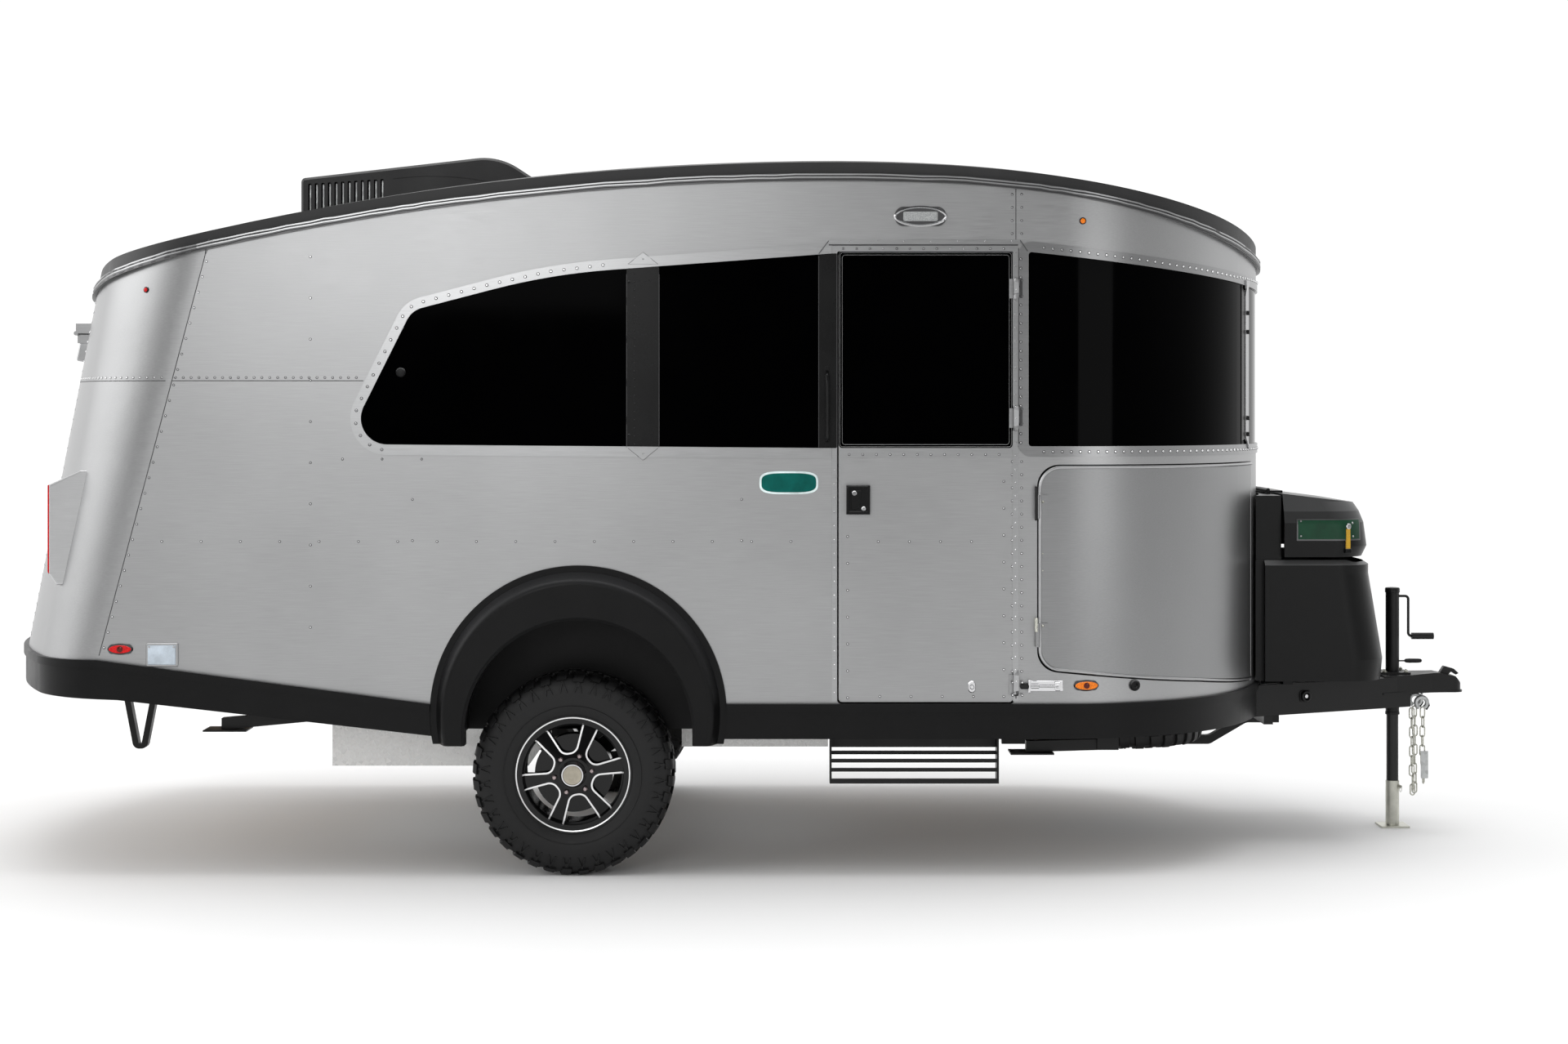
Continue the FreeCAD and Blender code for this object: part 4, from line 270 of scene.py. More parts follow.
finish = {
    "skin": brushed_metal("brushed_aluminium", (0.365, 0.367, 0.370), 0.36, 420, 0.10),
    # The storage doors' aluminium is the skin's made darker, a painted shade.
    "panel": brushed_metal("storage_panel_painted_shade", (0.275, 0.277, 0.280), 0.36, 420, 0.10),
    "trim": brushed_metal("polished_trim", (0.40, 0.403, 0.407), 0.30, 600, 0.03, 0.05),
    # The nose window's trim is the side trim made darker, a painted shade.
    "shaded_nose_trim": brushed_metal("shaded_nose_trim", (0.30, 0.302, 0.305), 0.30, 600, 0.03, 0.05),
    "wedge": brushed_metal("lamp_wedge", (0.50, 0.503, 0.507), 0.30, 600, 0.03, 0.05),
    "roof": moulded_plastic("roof_membrane", (0.020, 0.020, 0.0205), 0.46, 240, 0.25),
    # The black plastic and the box plastic get a painted highlight, their second colour, on faces that turn
    # up.
    "plastic": painted_sheen_plastic("black_plastic", (0.0035, 0.0035, 0.0037), (0.022, 0.022, 0.023),
                             0.36, 420, 0.3, 0.16),
    "cooler": moulded_plastic("cooler_plastic", (0.013, 0.013, 0.0135), 0.42, 500, 0.2, 0.35),
    "box": painted_sheen_plastic("box_plastic", (0.0035, 0.0036, 0.0037), (0.085, 0.086, 0.087),
                         0.31, 520, 0.3, 0.19),
    "glass": tinted_glass("tinted_glass", GLASS, 0.008),
    "nose_glass": tinted_glass("nose_glass", GLASS, 0.022),
    "post": moulded_plastic("gloss_black", (0.003, 0.003, 0.0031), 0.26, 300, 0.05, 0.22),
    "paint": painted_metal("black_paint", PAINT, 0.36, 0.28),
    "galvanised": spangled_zinc("galvanised", (0.52, 0.53, 0.53), 0.50, 60),
    "zinc": spangled_zinc("zinc_plate", ZINC, 0.34, 220),
    "chrome": brushed_metal("chrome", (0.62, 0.62, 0.63), 0.10, 300, 0.02, 0.01),
    "machined": brushed_metal("machined_edge", (0.86, 0.86, 0.86), 0.34, 900, 0.01, 0.05),
    "rubber": rubber_finish("tyre_rubber", (0.0055, 0.0055, 0.0057)),
    "wheel": moulded_plastic("gloss_wheel", (0.0015, 0.0015, 0.0017), 0.10, 400, 0.03, 0.30),
    "red": lens_finish("red_lens", (0.62, 0.003, 0.005), 0.05),
    "orange": lens_finish("orange_lens", (0.85, 0.20, 0.006), 0.05),
    "clear": lens_finish("clear_lens", (0.36, 0.37, 0.37)),
    "green": painted_metal("green_plate", (0.006, 0.042, 0.020), 0.35, 0.2),
    "teal": painted_metal("teal_plate", (0.001, 0.088, 0.074), 0.35, 0.1),
    "pale": painted_metal("pale_border", (0.62, 0.72, 0.72), 0.40),
    "yellow": woven_strap("yellow_strap", (0.62, 0.35, 0.01)),
    "plywood": plywood_finish("plywood", (0.30, 0.20, 0.11)),
    # Dark sealant for seams and joints; the same material makes the painted shadow under the rivets.
    "sealant_and_shadow": moulded_plastic("sealant_and_shadow", (0.055, 0.055, 0.057), 0.6, 300, 0.3),
    "inlet": painted_metal("inlet_plastic", (0.46, 0.52, 0.58), 0.42),
    "dark_lens": lens_finish("dark_lens", (0.10, 0.008, 0.004)),
    # On the drip rail this darker aluminium is a painted shade.
    "rail": brushed_metal("roof_rail", (0.11, 0.1105, 0.112), 0.34, 500, 0.03, 0.05),
    "rivet": brushed_metal("rivet_heads", (0.78, 0.783, 0.787), 0.13, 300, 0.0, 0.01),
    "dark_metal": brushed_metal("dark_metal", (0.13, 0.13, 0.132), 0.25, 300, 0.02, 0.02),
    # The tank pans' zinc is the galvanised zinc made paler, a painted light against the shade under the
    # body.
    "tank": spangled_zinc("tank_zinc_painted_light", (0.80, 0.80, 0.79), 0.5, 60),
    "nut": brushed_metal("wheel_nuts", (0.36, 0.30, 0.30), 0.25, 300, 0.02, 0.02),
    "cap": painted_metal("cap_disc", (0.34, 0.31, 0.25), 0.4, 0.3),
}

NODE_FINISHES = {
    "skin": ["wall_right", "wall_left", "wall_front", "wall_rear", "entry_door", "rear_hatch"],
    "panel": ["storage_door_right", "storage_door_left"],
    "trim": ["window_trim_right", "window_trim_left"],
    "wedge": ["tail_lamp_right", "tail_lamp_left"],
    "shaded_nose_trim": ["window_trim_front"],
    "rail": ["drip_rail"],
    "roof": ["roof_panel"],
    "plastic": ["belly_band", "flare_right", "flare_left", "wheel_tub_right", "wheel_tub_left"],
    "cooler": ["air_conditioner"],
    "box": ["storage_box", "box_lid"],
    "glass": ["glass_right", "glass_left", "door_glass", "hatch_glass"],
    "nose_glass": ["glass_front"],
    "post": ["window_posts", "door_handle"],
    "plywood": ["floor_panel"],
    "tank": ["tank_pans"],
    "zinc": ["jack_leg", "safety_chains"],
    "red": ["tail_lens_right", "tail_lens_left"],
    "sealant_and_shadow": ["side_lamps"],
    "rubber": ["tyre_right", "tyre_left", "spare_wheel"],
    "wheel": ["rim_right", "rim_left"],
}
finish_of = {name: key for key, names in NODE_FINISHES.items() for name in names}


def dress_nodes():
    for name, piece in nodes.items():
        piece.data.materials.clear()
        piece.data.materials.append(finish[finish_of.get(name, "paint")].material)


dress_nodes()


# Mesh building

def axes_of(normal, up=UP):
    """Two directions across a normal: sideways and upwards."""
    if abs(normal.dot(up)) > 0.95:
        up = AHEAD
    side = up.cross(normal).normalized()
    return side, normal.cross(side).normalized()


def circle(centre, side, up, radius, count):
    """Points round a circle that lies in two directions."""
    angles = [2 * math.pi * index / count for index in range(count)]
    return [centre + (side * math.cos(angle) + up * math.sin(angle)) * radius for angle in angles]


def ring_faces(rows, columns, wrap_rows=False, wrap_columns=True):
    """Quads between rings of points laid out row by row."""
    faces = []
    for row in range(rows if wrap_rows else rows - 1):
        for column in range(columns if wrap_columns else columns - 1):
            start, ahead = row * columns, (row + 1) % rows * columns
            beside = (column + 1) % columns
            faces.append([start + column, start + beside, ahead + beside, ahead + column])
    return faces


def smooth_path(points, step=0.012):
    """Points along a smooth curve through given points."""
    result = []
    for index in range(len(points) - 1):
        before = points[max(index - 1, 0)]
        start, end = points[index], points[index + 1]
        after = points[min(index + 2, len(points) - 1)]
        count = max(2, int((end - start).length / step))
        for part in range(count):
            t = part / count
            result.append(0.5 * ((2 * start) + (end - before) * t
                                 + (2 * before - 5 * start + 4 * end - after) * t ** 2
                                 + (3 * start - before - 3 * end + after) * t ** 3))
    return result + [points[-1]]


def rounded(corners, step=math.radians(9)):
    """A closed outline with round corners from (u, v, radius) corners."""
    outline = []
    count = len(corners)
    for index, (u, v, radius) in enumerate(corners):
        corner = Vector((u, v))
        before = (Vector(corners[index - 1][:2]) - corner).normalized()
        after = (Vector(corners[(index + 1) % count][:2]) - corner).normalized()
        if radius <= 0:
            outline.append(corner)
            continue
        half = before.angle(after) / 2
        centre = corner + (before + after).normalized() * radius / math.sin(half)
        start = corner + before * radius / math.tan(half) - centre
        turn = math.pi - 2 * half
        sign = 1 if before.x * after.y - before.y * after.x < 0 else -1
        pieces = max(2, int(turn / step))
        for part in range(pieces + 1):
            angle = sign * turn * part / pieces
            outline.append(centre + Vector((start.x * math.cos(angle) - start.y * math.sin(angle),
                                            start.x * math.sin(angle) + start.y * math.cos(angle))))
    return outline


def oval(half_width, half_height, sides=36, power=2.0):
    """An ellipse, or with a higher power a squarer oval."""
    points = []
    for index in range(sides):
        angle = 2 * math.pi * index / sides
        cosine, sine = math.cos(angle), math.sin(angle)
        points.append(Vector((math.copysign(abs(cosine) ** (2 / power), cosine) * half_width,
                              math.copysign(abs(sine) ** (2 / power), sine) * half_height)))
    return points


def rectangle(half_width, half_height, radius):
    return rounded([(-half_width, -half_height, radius), (half_width, -half_height, radius),
                    (half_width, half_height, radius), (-half_width, half_height, radius)])


def shrunk(outline, distance):
    """The outline moved inwards by a distance, for a bevel."""
    count = len(outline)
    area = sum(outline[i].x * outline[(i + 1) % count].y - outline[i].y * outline[(i + 1) % count].x
               for i in range(count))
    sign = 1 if area > 0 else -1
    result = []
    for index, point in enumerate(outline):
        way = outline[(index + 1) % count] - outline[index - 1]
        result.append(point + Vector((-way.y, way.x)).normalized() * sign * distance)
    return result


RIVET_RADIUS = 0.0048
RIVET_HEIGHT = 0.0044
SMALL_RIVET = 0.0040
# A painted shadow round each rivet's foot: a thin dark disc a little wider than the head.
SHADOW_RING_SPREAD = 1.32
SHADOW_RING_HEIGHT = 0.0004
SHADOW_RING_SIDES = 12
DOME = ((1.0, -0.1), (0.86, 0.55), (0.5, 0.92))
SHARP_ANGLE = math.radians(38)
piles = []


class Pile:
    """Many small pieces joined into one mesh, which rides on one body. The last lines build them all."""

    def __init__(self, name, finish_name, body="trailer", smooth=True, replaced=None, shadow_ringed=False):
        self.name = name
        self.finish_name = finish_name
        self.body = body
        self.smooth = smooth
        self.replaced = replaced
        self.points = []
        self.faces = []
        piles.append(self)
        # Rings are thin dark discs under the rivets, a painted shadow.
        self.rings = Pile(f"{name}_rings", "sealant_and_shadow", body, smooth=False) if shadow_ringed else None

    def build(self):
        mesh = bpy.data.meshes.new(self.name)
        mesh.from_pydata(self.points, [], self.faces)
        mesh.materials.append(finish[self.finish_name].material)
        mesh.shade_smooth() if self.smooth else mesh.shade_flat()
        mesh.update()
        piece = bpy.data.objects.new(self.name, mesh)
        scene.collection.objects.link(piece)
        if self.smooth:
            mesh.set_sharp_from_angle(angle=SHARP_ANGLE)
        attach(piece, self.body)
        if self.replaced:
            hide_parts(self.replaced)

    def add(self, points, faces):
        start = len(self.points)
        self.points += [tuple(point) for point in points]
        self.faces += [[start + corner for corner in face] for face in faces]

    def stack(self, rings, closed=False, bottom=True):
        """Rings of points joined into a skin. Unless it runs in a loop, it gets its ends."""
        count = len(rings[0])
        faces = ring_faces(len(rings), count, wrap_rows=closed)
        if not closed:
            faces.append([(len(rings) - 1) * count + index for index in range(count)])
            if bottom:
                faces.append(list(range(count))[::-1])
        self.add([point for ring in rings for point in ring], faces)

    def dome(self, point, normal, radius, height, sides=10):
        """A rivet head or a bolt's cap."""
        side, up = axes_of(normal)
        self.stack([circle(point + normal * height * rise, side, up, radius * spread, sides)
                    for spread, rise in DOME], bottom=False)

    def turned(self, centre, axis, profile, sides=32, closed=False):
        """A turned form from (distance along the axis, radius) points, solid or a closed ring."""
        side, up = axes_of(axis)
        self.stack([circle(centre + axis * along, side, up, radius, sides)
                    for along, radius in profile], closed)

    def tube(self, path, radius, sides=10, closed=False, reach=None):
        """A round bar along a path; reach makes it flatter in its second direction."""
        reach = reach or radius
        angles = [2 * math.pi * corner / sides for corner in range(sides)]
        rings = []
        count = len(path)
        normal = None
        for index, point in enumerate(path):
            ahead = path[(index + 1) % count] if closed or index + 1 < count else point
            behind = path[index - 1] if closed or index > 0 else point
            way = (ahead - behind).normalized()
            if normal is None:
                normal = axes_of(way)[1]
            normal = (normal - way * normal.dot(way)).normalized()
            side = way.cross(normal)
            rings.append([point + side * math.cos(angle) * radius + normal * math.sin(angle) * reach
                          for angle in angles])
        self.stack(rings, closed)

    def stand(self, centre, normal, levels, closed=False):
        """Outlines stacked over a surface, each at its own level."""
        side, rise = axes_of(normal)
        self.stack([[centre + side * spot.x + rise * spot.y + normal * level for spot in outline]
                    for outline, level in levels], closed)

    def plate(self, centre, normal, outline, height, bevel=0.0, sink=0.002):
        """A plate with a bevelled rim that stands on a surface."""
        levels = [(outline, -sink), (outline, height - bevel)]
        if bevel:
            levels.append((shrunk(outline, bevel), height))
        self.stand(centre, normal, levels)

    def frame(self, centre, normal, outline, width, height, bevel=0.001, sink=0.002):
        """A raised rim of a given width, just inside an outline."""
        shoulder = height - bevel
        insets = ((0, -sink), (0, shoulder), (bevel, height), (width - bevel, height), (width, shoulder),
                  (width, -sink))
        self.stand(centre, normal, [(shrunk(outline, inset), level) for inset, level in insets], closed=True)

    def strip(self, track, width, height, sink=0.0008, closed=False):
        """A flat strip laid on a track."""
        rows = []
        count = len(track)
        for index, (point, normal) in enumerate(track):
            ahead = track[(index + 1) % count][0] if closed or index + 1 < count else point
            behind = track[index - 1][0] if closed or index else point
            side = (ahead - behind).normalized().cross(normal).normalized()
            for offset, level in ((-0.5, -sink), (-0.5, height), (0.5, height), (0.5, -sink)):
                rows.append(point + side * (offset * width) + normal * level)
        faces = ring_faces(count, 4, wrap_rows=closed)
        if not closed:
            faces += [[0, 1, 2, 3], [4 * count - 1, 4 * count - 2, 4 * count - 3, 4 * count - 4]]
        self.add(rows, faces)

    def sheet(self, grid, height, sink=0.002):
        """A thin plate bent over a surface, from rows of (point, normal) places."""
        rows, columns = len(grid), len(grid[0])
        spots = [spot for row in grid for spot in row]
        top = [point + normal * height for point, normal in spots]
        low = [point - normal * sink for point, normal in spots]
        rim = list(range(columns))
        rim += [row * columns + columns - 1 for row in range(1, rows)]
        rim += [(rows - 1) * columns + index for index in range(columns - 2, -1, -1)]
        rim += [row * columns for row in range(rows - 2, 0, -1)]
        under = len(top)
        edges = [[rim[index - 1], rim[index], under + rim[index], under + rim[index - 1]]
                 for index in range(len(rim))]
        self.add(top + low, ring_faces(rows, columns, wrap_columns=False) + edges)

    def rivet(self, point, normal, radius=RIVET_RADIUS):
        """A rivet head, with a painted shadow round its foot where the pile has rings: a thin dark disc."""
        self.dome(point, normal, radius, RIVET_HEIGHT * radius / RIVET_RADIUS)
        if self.rings:
            spread = radius * SHADOW_RING_SPREAD
            self.rings.plate(point, normal, oval(spread, spread, SHADOW_RING_SIDES), SHADOW_RING_HEIGHT, sink=0.001)

    def rivet_row(self, track, pitch, radius=SMALL_RIVET, start=None):
        for point, normal in spaced(track, pitch, start):
            self.rivet(point, normal, radius)


# Places on the body's surface

def surface_of(names):
    """A search tree over the rest shapes of some CAD nodes."""
    points = []
    faces = []
    for name in names:
        start = len(points)
        mesh = nodes[name].data
        points += [vertex.co.copy() for vertex in mesh.vertices]
        faces += [[start + corner for corner in face.vertices] for face in mesh.polygons]
    return BVHTree.FromPolygons(points, faces)


SHELL = ["wall_right", "wall_left", "wall_front", "wall_rear", "entry_door", "storage_door_right",
         "storage_door_left", "rear_hatch", "belly_band", "window_trim_right", "window_trim_left",
         "window_trim_front", "glass_right", "glass_left", "glass_front", "door_glass", "window_posts",
         "flare_right", "flare_left", "hatch_glass", "roof_panel", "drip_rail"]
shell = surface_of(SHELL)
FAR = 6.0
NOSE_AXIS_X = 0.9
TAIL_AXIS_X = -1.2


def cast(origin, way, tree=None):
    """The first place on the shell that a ray meets, with the surface's own normal."""
    point, normal, _, _ = (tree or shell).ray_cast(origin, way, 2 * FAR)
    if point is None:
        raise SystemExit(f"no surface on the way from {tuple(origin)}")
    return point, -normal if normal.dot(way) > 0 else normal


def on_side(x, z, side=-1, tree=None):
    return cast(Vector((x, side * FAR, z)), Vector((0, -side, 0)), tree)


def on_nose(angle, z, tree=None):
    """A place on the nose at an angle from straight ahead; a negative one is on the right."""
    way = Vector((math.cos(angle), math.sin(angle), 0))
    return cast(Vector((NOSE_AXIS_X, 0, z)) + way * FAR, -way, tree)


def on_tail(angle, z, tree=None):
    way = Vector((-math.cos(angle), math.sin(angle), 0))
    return cast(Vector((TAIL_AXIS_X, 0, z)) + way * FAR, -way, tree)


def side_track(points, side=-1, step=0.02, tree=None):
    """A path over a side of the body through (x, z) points."""
    track = []
    for start, end in zip(points, points[1:]):
        count = max(1, int((Vector(end) - Vector(start)).length / step))
        for part in range(count):
            spot = Vector(start).lerp(Vector(end), part / count)
            track.append(on_side(spot.x, spot.y, side, tree))
    track.append(on_side(points[-1][0], points[-1][1], side, tree))
    return track


def turn_track(place, level, start, end, step=math.radians(1.0), tree=None):
    """A path round the nose or tail between two angles; level is a height for each angle's place."""
    count = max(1, int(abs(end - start) / step))
    track = []
    for part in range(count + 1):
        angle = start + (end - start) * part / count
        spot = place(angle, level(0.0) if callable(level) else level, tree)
        if callable(level):
            spot = place(angle, level(spot[0].x), tree)
        track.append(spot)
    return track


def spaced(track, pitch, start=None):
    """Places at an even pitch along a track."""
    start = pitch / 2 if start is None else start
    result = []
    travelled = 0.0
    due = start
    for (point, normal), (ahead, next_normal) in zip(track, track[1:]):
        length = (ahead - point).length
        while travelled + length >= due and length > 0:
            share = (due - travelled) / length
            result.append((point.lerp(ahead, share), normal.lerp(next_normal, share).normalized()))
            due += pitch
        travelled += length
    return result


# Rivets and seams of the shell and its trim

TRIM_MIDDLE = 0.021
WINDOW_PITCH = 0.050
SIDE_WINDOW = [(0.336, 1.637, 0.012), (0.336, 2.381, 0.012), (-0.760, 2.300, 2.5), (-1.290, 2.162, 0.09),
               (-1.545, 1.652, 0.1)]
REAR_POST = (-0.471, -0.347)
DOOR_POST = (0.262, 0.336)
SEAM_Z = 1.894
SEAM_WIDTH = 0.0032
SEAM_RISE = 0.0005
SEAM_PITCH = 0.030
SEAM_END_X = -1.475
SEAM_RIVET_LIFT = 0.012
SLANT_PITCH = 0.061
SLANT_Z = (0.846, 1.4, 1.9, 2.435)
SLANT_SEAM_SHIFT = 0.0015
SLANT_RIVET_SHIFT = 0.011
BAND_TAIL_Z = 0.838
SLANT_X = -2.487
SLANT_LEAN = 0.265
FRONT_SEAM_X = 1.014
FRONT_SEAM_RUNS = ((2.43, 2.66), (0.68, 1.60))
FRONT_RIVET_SHIFTS = (-0.014, 0.022)
DOOR_REAR_X = 0.338
DOOR_FRONT_X = 1.002
DOOR_TOP_Z = 2.387


def slant_x(z):
    return SLANT_X + SLANT_LEAN * (z - BAND_TAIL_Z)


def window_rivets(pile, side):
    """One rivet row along the middle of a side window's trim, left out at the posts."""
    outline = shrunk(rounded(SIDE_WINDOW), -TRIM_MIDDLE)
    clear = TRIM_MIDDLE * 2
    spots = [spot for spot in outline if spot.x < DOOR_POST[0] - clear]
    start = max(range(len(spots)), key=lambda index: (spots[index] - spots[index - 1]).length)
    spots = spots[start:] + spots[:start]
    track = side_track([(spot.x, spot.y) for spot in spots], side)
    for point, normal in spaced(track, WINDOW_PITCH):
        if not REAR_POST[0] - clear < point.x < REAR_POST[1] + clear:
            pile.rivet(point, normal)


NOSE_WINDOW_ANGLE = math.radians(80)
NOSE_PITCH = 0.035
NOSE_TOP_Z = 2.386
NOSE_TOP_X = 1.062
NOSE_SLOPE = -0.1105
NOSE_LOW_Z = 1.644


def nose_top(x):
    return NOSE_TOP_Z + (x - NOSE_TOP_X) * NOSE_SLOPE + TRIM_MIDDLE


def nose_rivets(pile):
    for level in (nose_top, NOSE_LOW_Z - TRIM_MIDDLE):
        pile.rivet_row(turn_track(on_nose, level, -NOSE_WINDOW_ANGLE, NOSE_WINDOW_ANGLE), NOSE_PITCH,
                       RIVET_RADIUS)


TAIL_SEAM_ANGLE = math.radians(48.0)
HATCH_SIDE_ANGLE = math.radians(19.2)
HATCH_COLUMN_Y = (0.545, 0.635)
HATCH_COLUMN_RUN = (0.86, 2.30)
HATCH_COLUMN_STEPS = 59
HATCH_COLUMN_PITCH = 0.040


def seam_features(rivets, seams, side):
    """The lap seam and its rivets from the tail to the window, and the slanted joint of the tail."""
    def lap(z):
        flat = side_track([(slant_x(SEAM_Z), z), (SEAM_END_X, z)], side)
        return flat, turn_track(on_tail, z, side * TAIL_SEAM_ANGLE, side * HATCH_SIDE_ANGLE)

    for track in lap(SEAM_Z):
        seams.strip(track, SEAM_WIDTH, SEAM_RISE)
    for track in lap(SEAM_Z + SEAM_RIVET_LIFT):
        rivets.rivet_row(track, SEAM_PITCH)
    slant = [(slant_x(z) + SLANT_SEAM_SHIFT, z) for z in SLANT_Z]
    seams.strip(side_track(slant, side), SEAM_WIDTH, SEAM_RISE)
    beside = [(x + SLANT_RIVET_SHIFT, z) for x, z in slant]
    rivets.rivet_row(side_track(beside, side), SLANT_PITCH)


RIB_COLUMNS = ((-1.677, 2.445, 0.86), (-1.288, 1.52, 1.22), (-0.032, 1.52, 1.22))
COLUMN_PITCH = 0.157
RIB_ROW = ((-2.244, 1.281), (0.285, 1.281))
ROW_PITCH = 0.150
SHORT_ROW = ((-1.63, 1.595), (-1.17, 1.595))
SHORT_ROW_PITCH = 0.151


def panel_rivets(pile, side):
    """The few rivets that hold the skin to the ribs between its seams."""
    for x, top, low in RIB_COLUMNS:
        pile.rivet_row(side_track([(x, top), (x, low)], side), COLUMN_PITCH)
    pile.rivet_row(side_track(RIB_ROW, side), ROW_PITCH, start=0.0)
    pile.rivet_row(side_track(SHORT_ROW, side), SHORT_ROW_PITCH)


def front_seam(rivets, seams, side):
    """The upright joint between the side and the nose, above and below the windows."""
    for low, high in FRONT_SEAM_RUNS:
        track = side_track([(FRONT_SEAM_X, low), (FRONT_SEAM_X, high)], side)
        seams.strip(track, SEAM_WIDTH, SEAM_RISE)
        for shift in FRONT_RIVET_SHIFTS:
            beside = [(point + AHEAD * shift, normal) for point, normal in track]
            rivets.rivet_row(beside, WINDOW_PITCH)


def tail_columns(pile, side):
    """Two rivet columns beside the rear hatch."""
    low, high = HATCH_COLUMN_RUN
    for y in HATCH_COLUMN_Y:
        track = []
        for index in range(HATCH_COLUMN_STEPS + 1):
            z = low + (high - low) * index / HATCH_COLUMN_STEPS
            track.append(cast(Vector((-FAR, side * y, z)), AHEAD))
        pile.rivet_row(track, HATCH_COLUMN_PITCH)


def make_rivets():
    rivets = Pile("rivets", "rivet", shadow_ringed=True)
    seams = Pile("lap_seams", "sealant_and_shadow", smooth=False)
    for side in SIDES:
        window_rivets(rivets, side)
        seam_features(rivets, seams, side)
        panel_rivets(rivets, side)
        front_seam(rivets, seams, side)
        tail_columns(rivets, side)
    nose_rivets(rivets)


make_rivets()


# Wheels

WHEEL_X = -0.679
WHEEL_Z = 0.387
WHEEL_Y = 1.006
TYRE_RADIUS = 0.387
TREAD_BASE = 0.377
LUG_COUNT = 36
LUG_PITCH = 2 * math.pi / LUG_COUNT
LUG_STEPS = 4
LUG_SINK = 0.002
TYRE_PROFILE = [(0.095, 0.2035), (0.099, 0.214), (0.104, 0.222), (0.112, 0.236), (0.1195, 0.258),
                (0.1235, 0.285), (0.1238, 0.305), (0.1225, 0.325), (0.1195, 0.343), (0.115, 0.356),
                (0.108, 0.367), (0.098, 0.3745), (0.080, TREAD_BASE), (0.045, TREAD_BASE + 0.0005),
                (0.0, TREAD_BASE + 0.001)]
SIDEWALL_BEADS = ((0.1218, 0.2635, 0.0016), (0.1075, 0.2265, 0.0022))
BEAD_SIDES = 96

# A lug has its shares of the way from bead to middle, its shares of a pitch, a height, a pinch and a lean.
OUTER_LUGS = ((0.885, 0.965, 0.10, 0.80, 0.0095, 0.9, -0.05), (0.47, 0.66, 0.10, 0.21, 0.0060, 0.6, 0.045),
              (0.47, 0.66, 0.56, 0.67, 0.0060, 0.6, -0.045))
SHORT_LUGS = ((0.69, 0.875, 0.0, 0.66, 0.010, 0.86, 0.02), *OUTER_LUGS)
LONG_LUGS = ((0.64, 0.875, 0.0, 0.66, 0.010, 0.86, 0.02), *OUTER_LUGS,
             (0.55, 0.63, 0.24, 0.46, 0.0050, 0.8, 0.0))
MIDDLE_LUG = (0.965, 1.0, 0.0, 0.42, 0.0095, 0.9, 0.03)


def profile_at(share):
    """A place on half the tyre's outline, by its share of the way from bead to tread's middle."""
    spot = share * (len(TYRE_PROFILE) - 1)
    index = min(int(spot), len(TYRE_PROFILE) - 2)
    start, end = Vector(TYRE_PROFILE[index]), Vector(TYRE_PROFILE[index + 1])
    return start.lerp(end, spot - index), Vector((end.y - start.y, start.x - end.x)).normalized()


def wheel_point(y, radius, angle):
    return Vector((radius * math.sin(angle), y, radius * math.cos(angle)))


def add_lug(pile, side, start, lug):
    """A raised block that follows the tyre's outline, from an angle on."""
    low_share, high_share, first, last, lift, pinch, skew = lug
    angles = [start + LUG_PITCH * part for part in (first, last)]
    middle = sum(angles) / 2
    rows = []
    for step in range(LUG_STEPS + 1):
        (y, radius), (out_y, out_r) = profile_at(low_share + (high_share - low_share) * step / LUG_STEPS)
        lean = skew * step / LUG_STEPS
        low = [wheel_point(side * (y - out_y * LUG_SINK), radius - out_r * LUG_SINK, angle + lean)
               for angle in angles]
        crest = min(radius + out_r * lift, TYRE_RADIUS)
        top = [wheel_point(side * (y + out_y * lift), crest, middle + (angle - middle) * pinch + lean)
               for angle in angles]
        rows += [low[0], top[0], top[1], low[1]]
    end = 4 * LUG_STEPS
    faces = ring_faces(LUG_STEPS + 1, 4, wrap_columns=False)
    faces += [[0, 3, 2, 1], [end, end + 1, end + 2, end + 3]]
    pile.add(rows, faces if side > 0 else [face[::-1] for face in faces])


def make_tyre(name, body, node, centre, turn=None):
    """An all-terrain tyre: lugs over both shoulders, blocks round the middle and ribs on the sidewalls."""
    pile = Pile(name, "rubber", body, replaced=node)
    profile = TYRE_PROFILE + [(-y, r) for y, r in reversed(TYRE_PROFILE[:-1])]
    pile.turned(Vector(), -RIGHT, profile, 3 * LUG_COUNT, closed=True)
    for side in SIDES:
        for index in range(LUG_COUNT):
            start = index * LUG_PITCH + (LUG_PITCH / 2 if side > 0 else 0)
            for lug in SHORT_LUGS if index % 2 else LONG_LUGS:
                add_lug(pile, side, start, lug)
    for index in range(LUG_COUNT * 2):
        add_lug(pile, 1 if index % 2 else -1, index * LUG_PITCH / 2, MIDDLE_LUG)
    for side in SIDES:
        for y, radius, bead in SIDEWALL_BEADS:
            ring = [wheel_point(side * y, radius, 2 * math.pi * index / BEAD_SIDES)
                    for index in range(BEAD_SIDES)]
            pile.tube(ring, bead, 6, closed=True)
    move = Matrix.Translation(centre) @ (turn or Matrix())
    pile.points = [tuple(move @ Vector(point)) for point in pile.points]


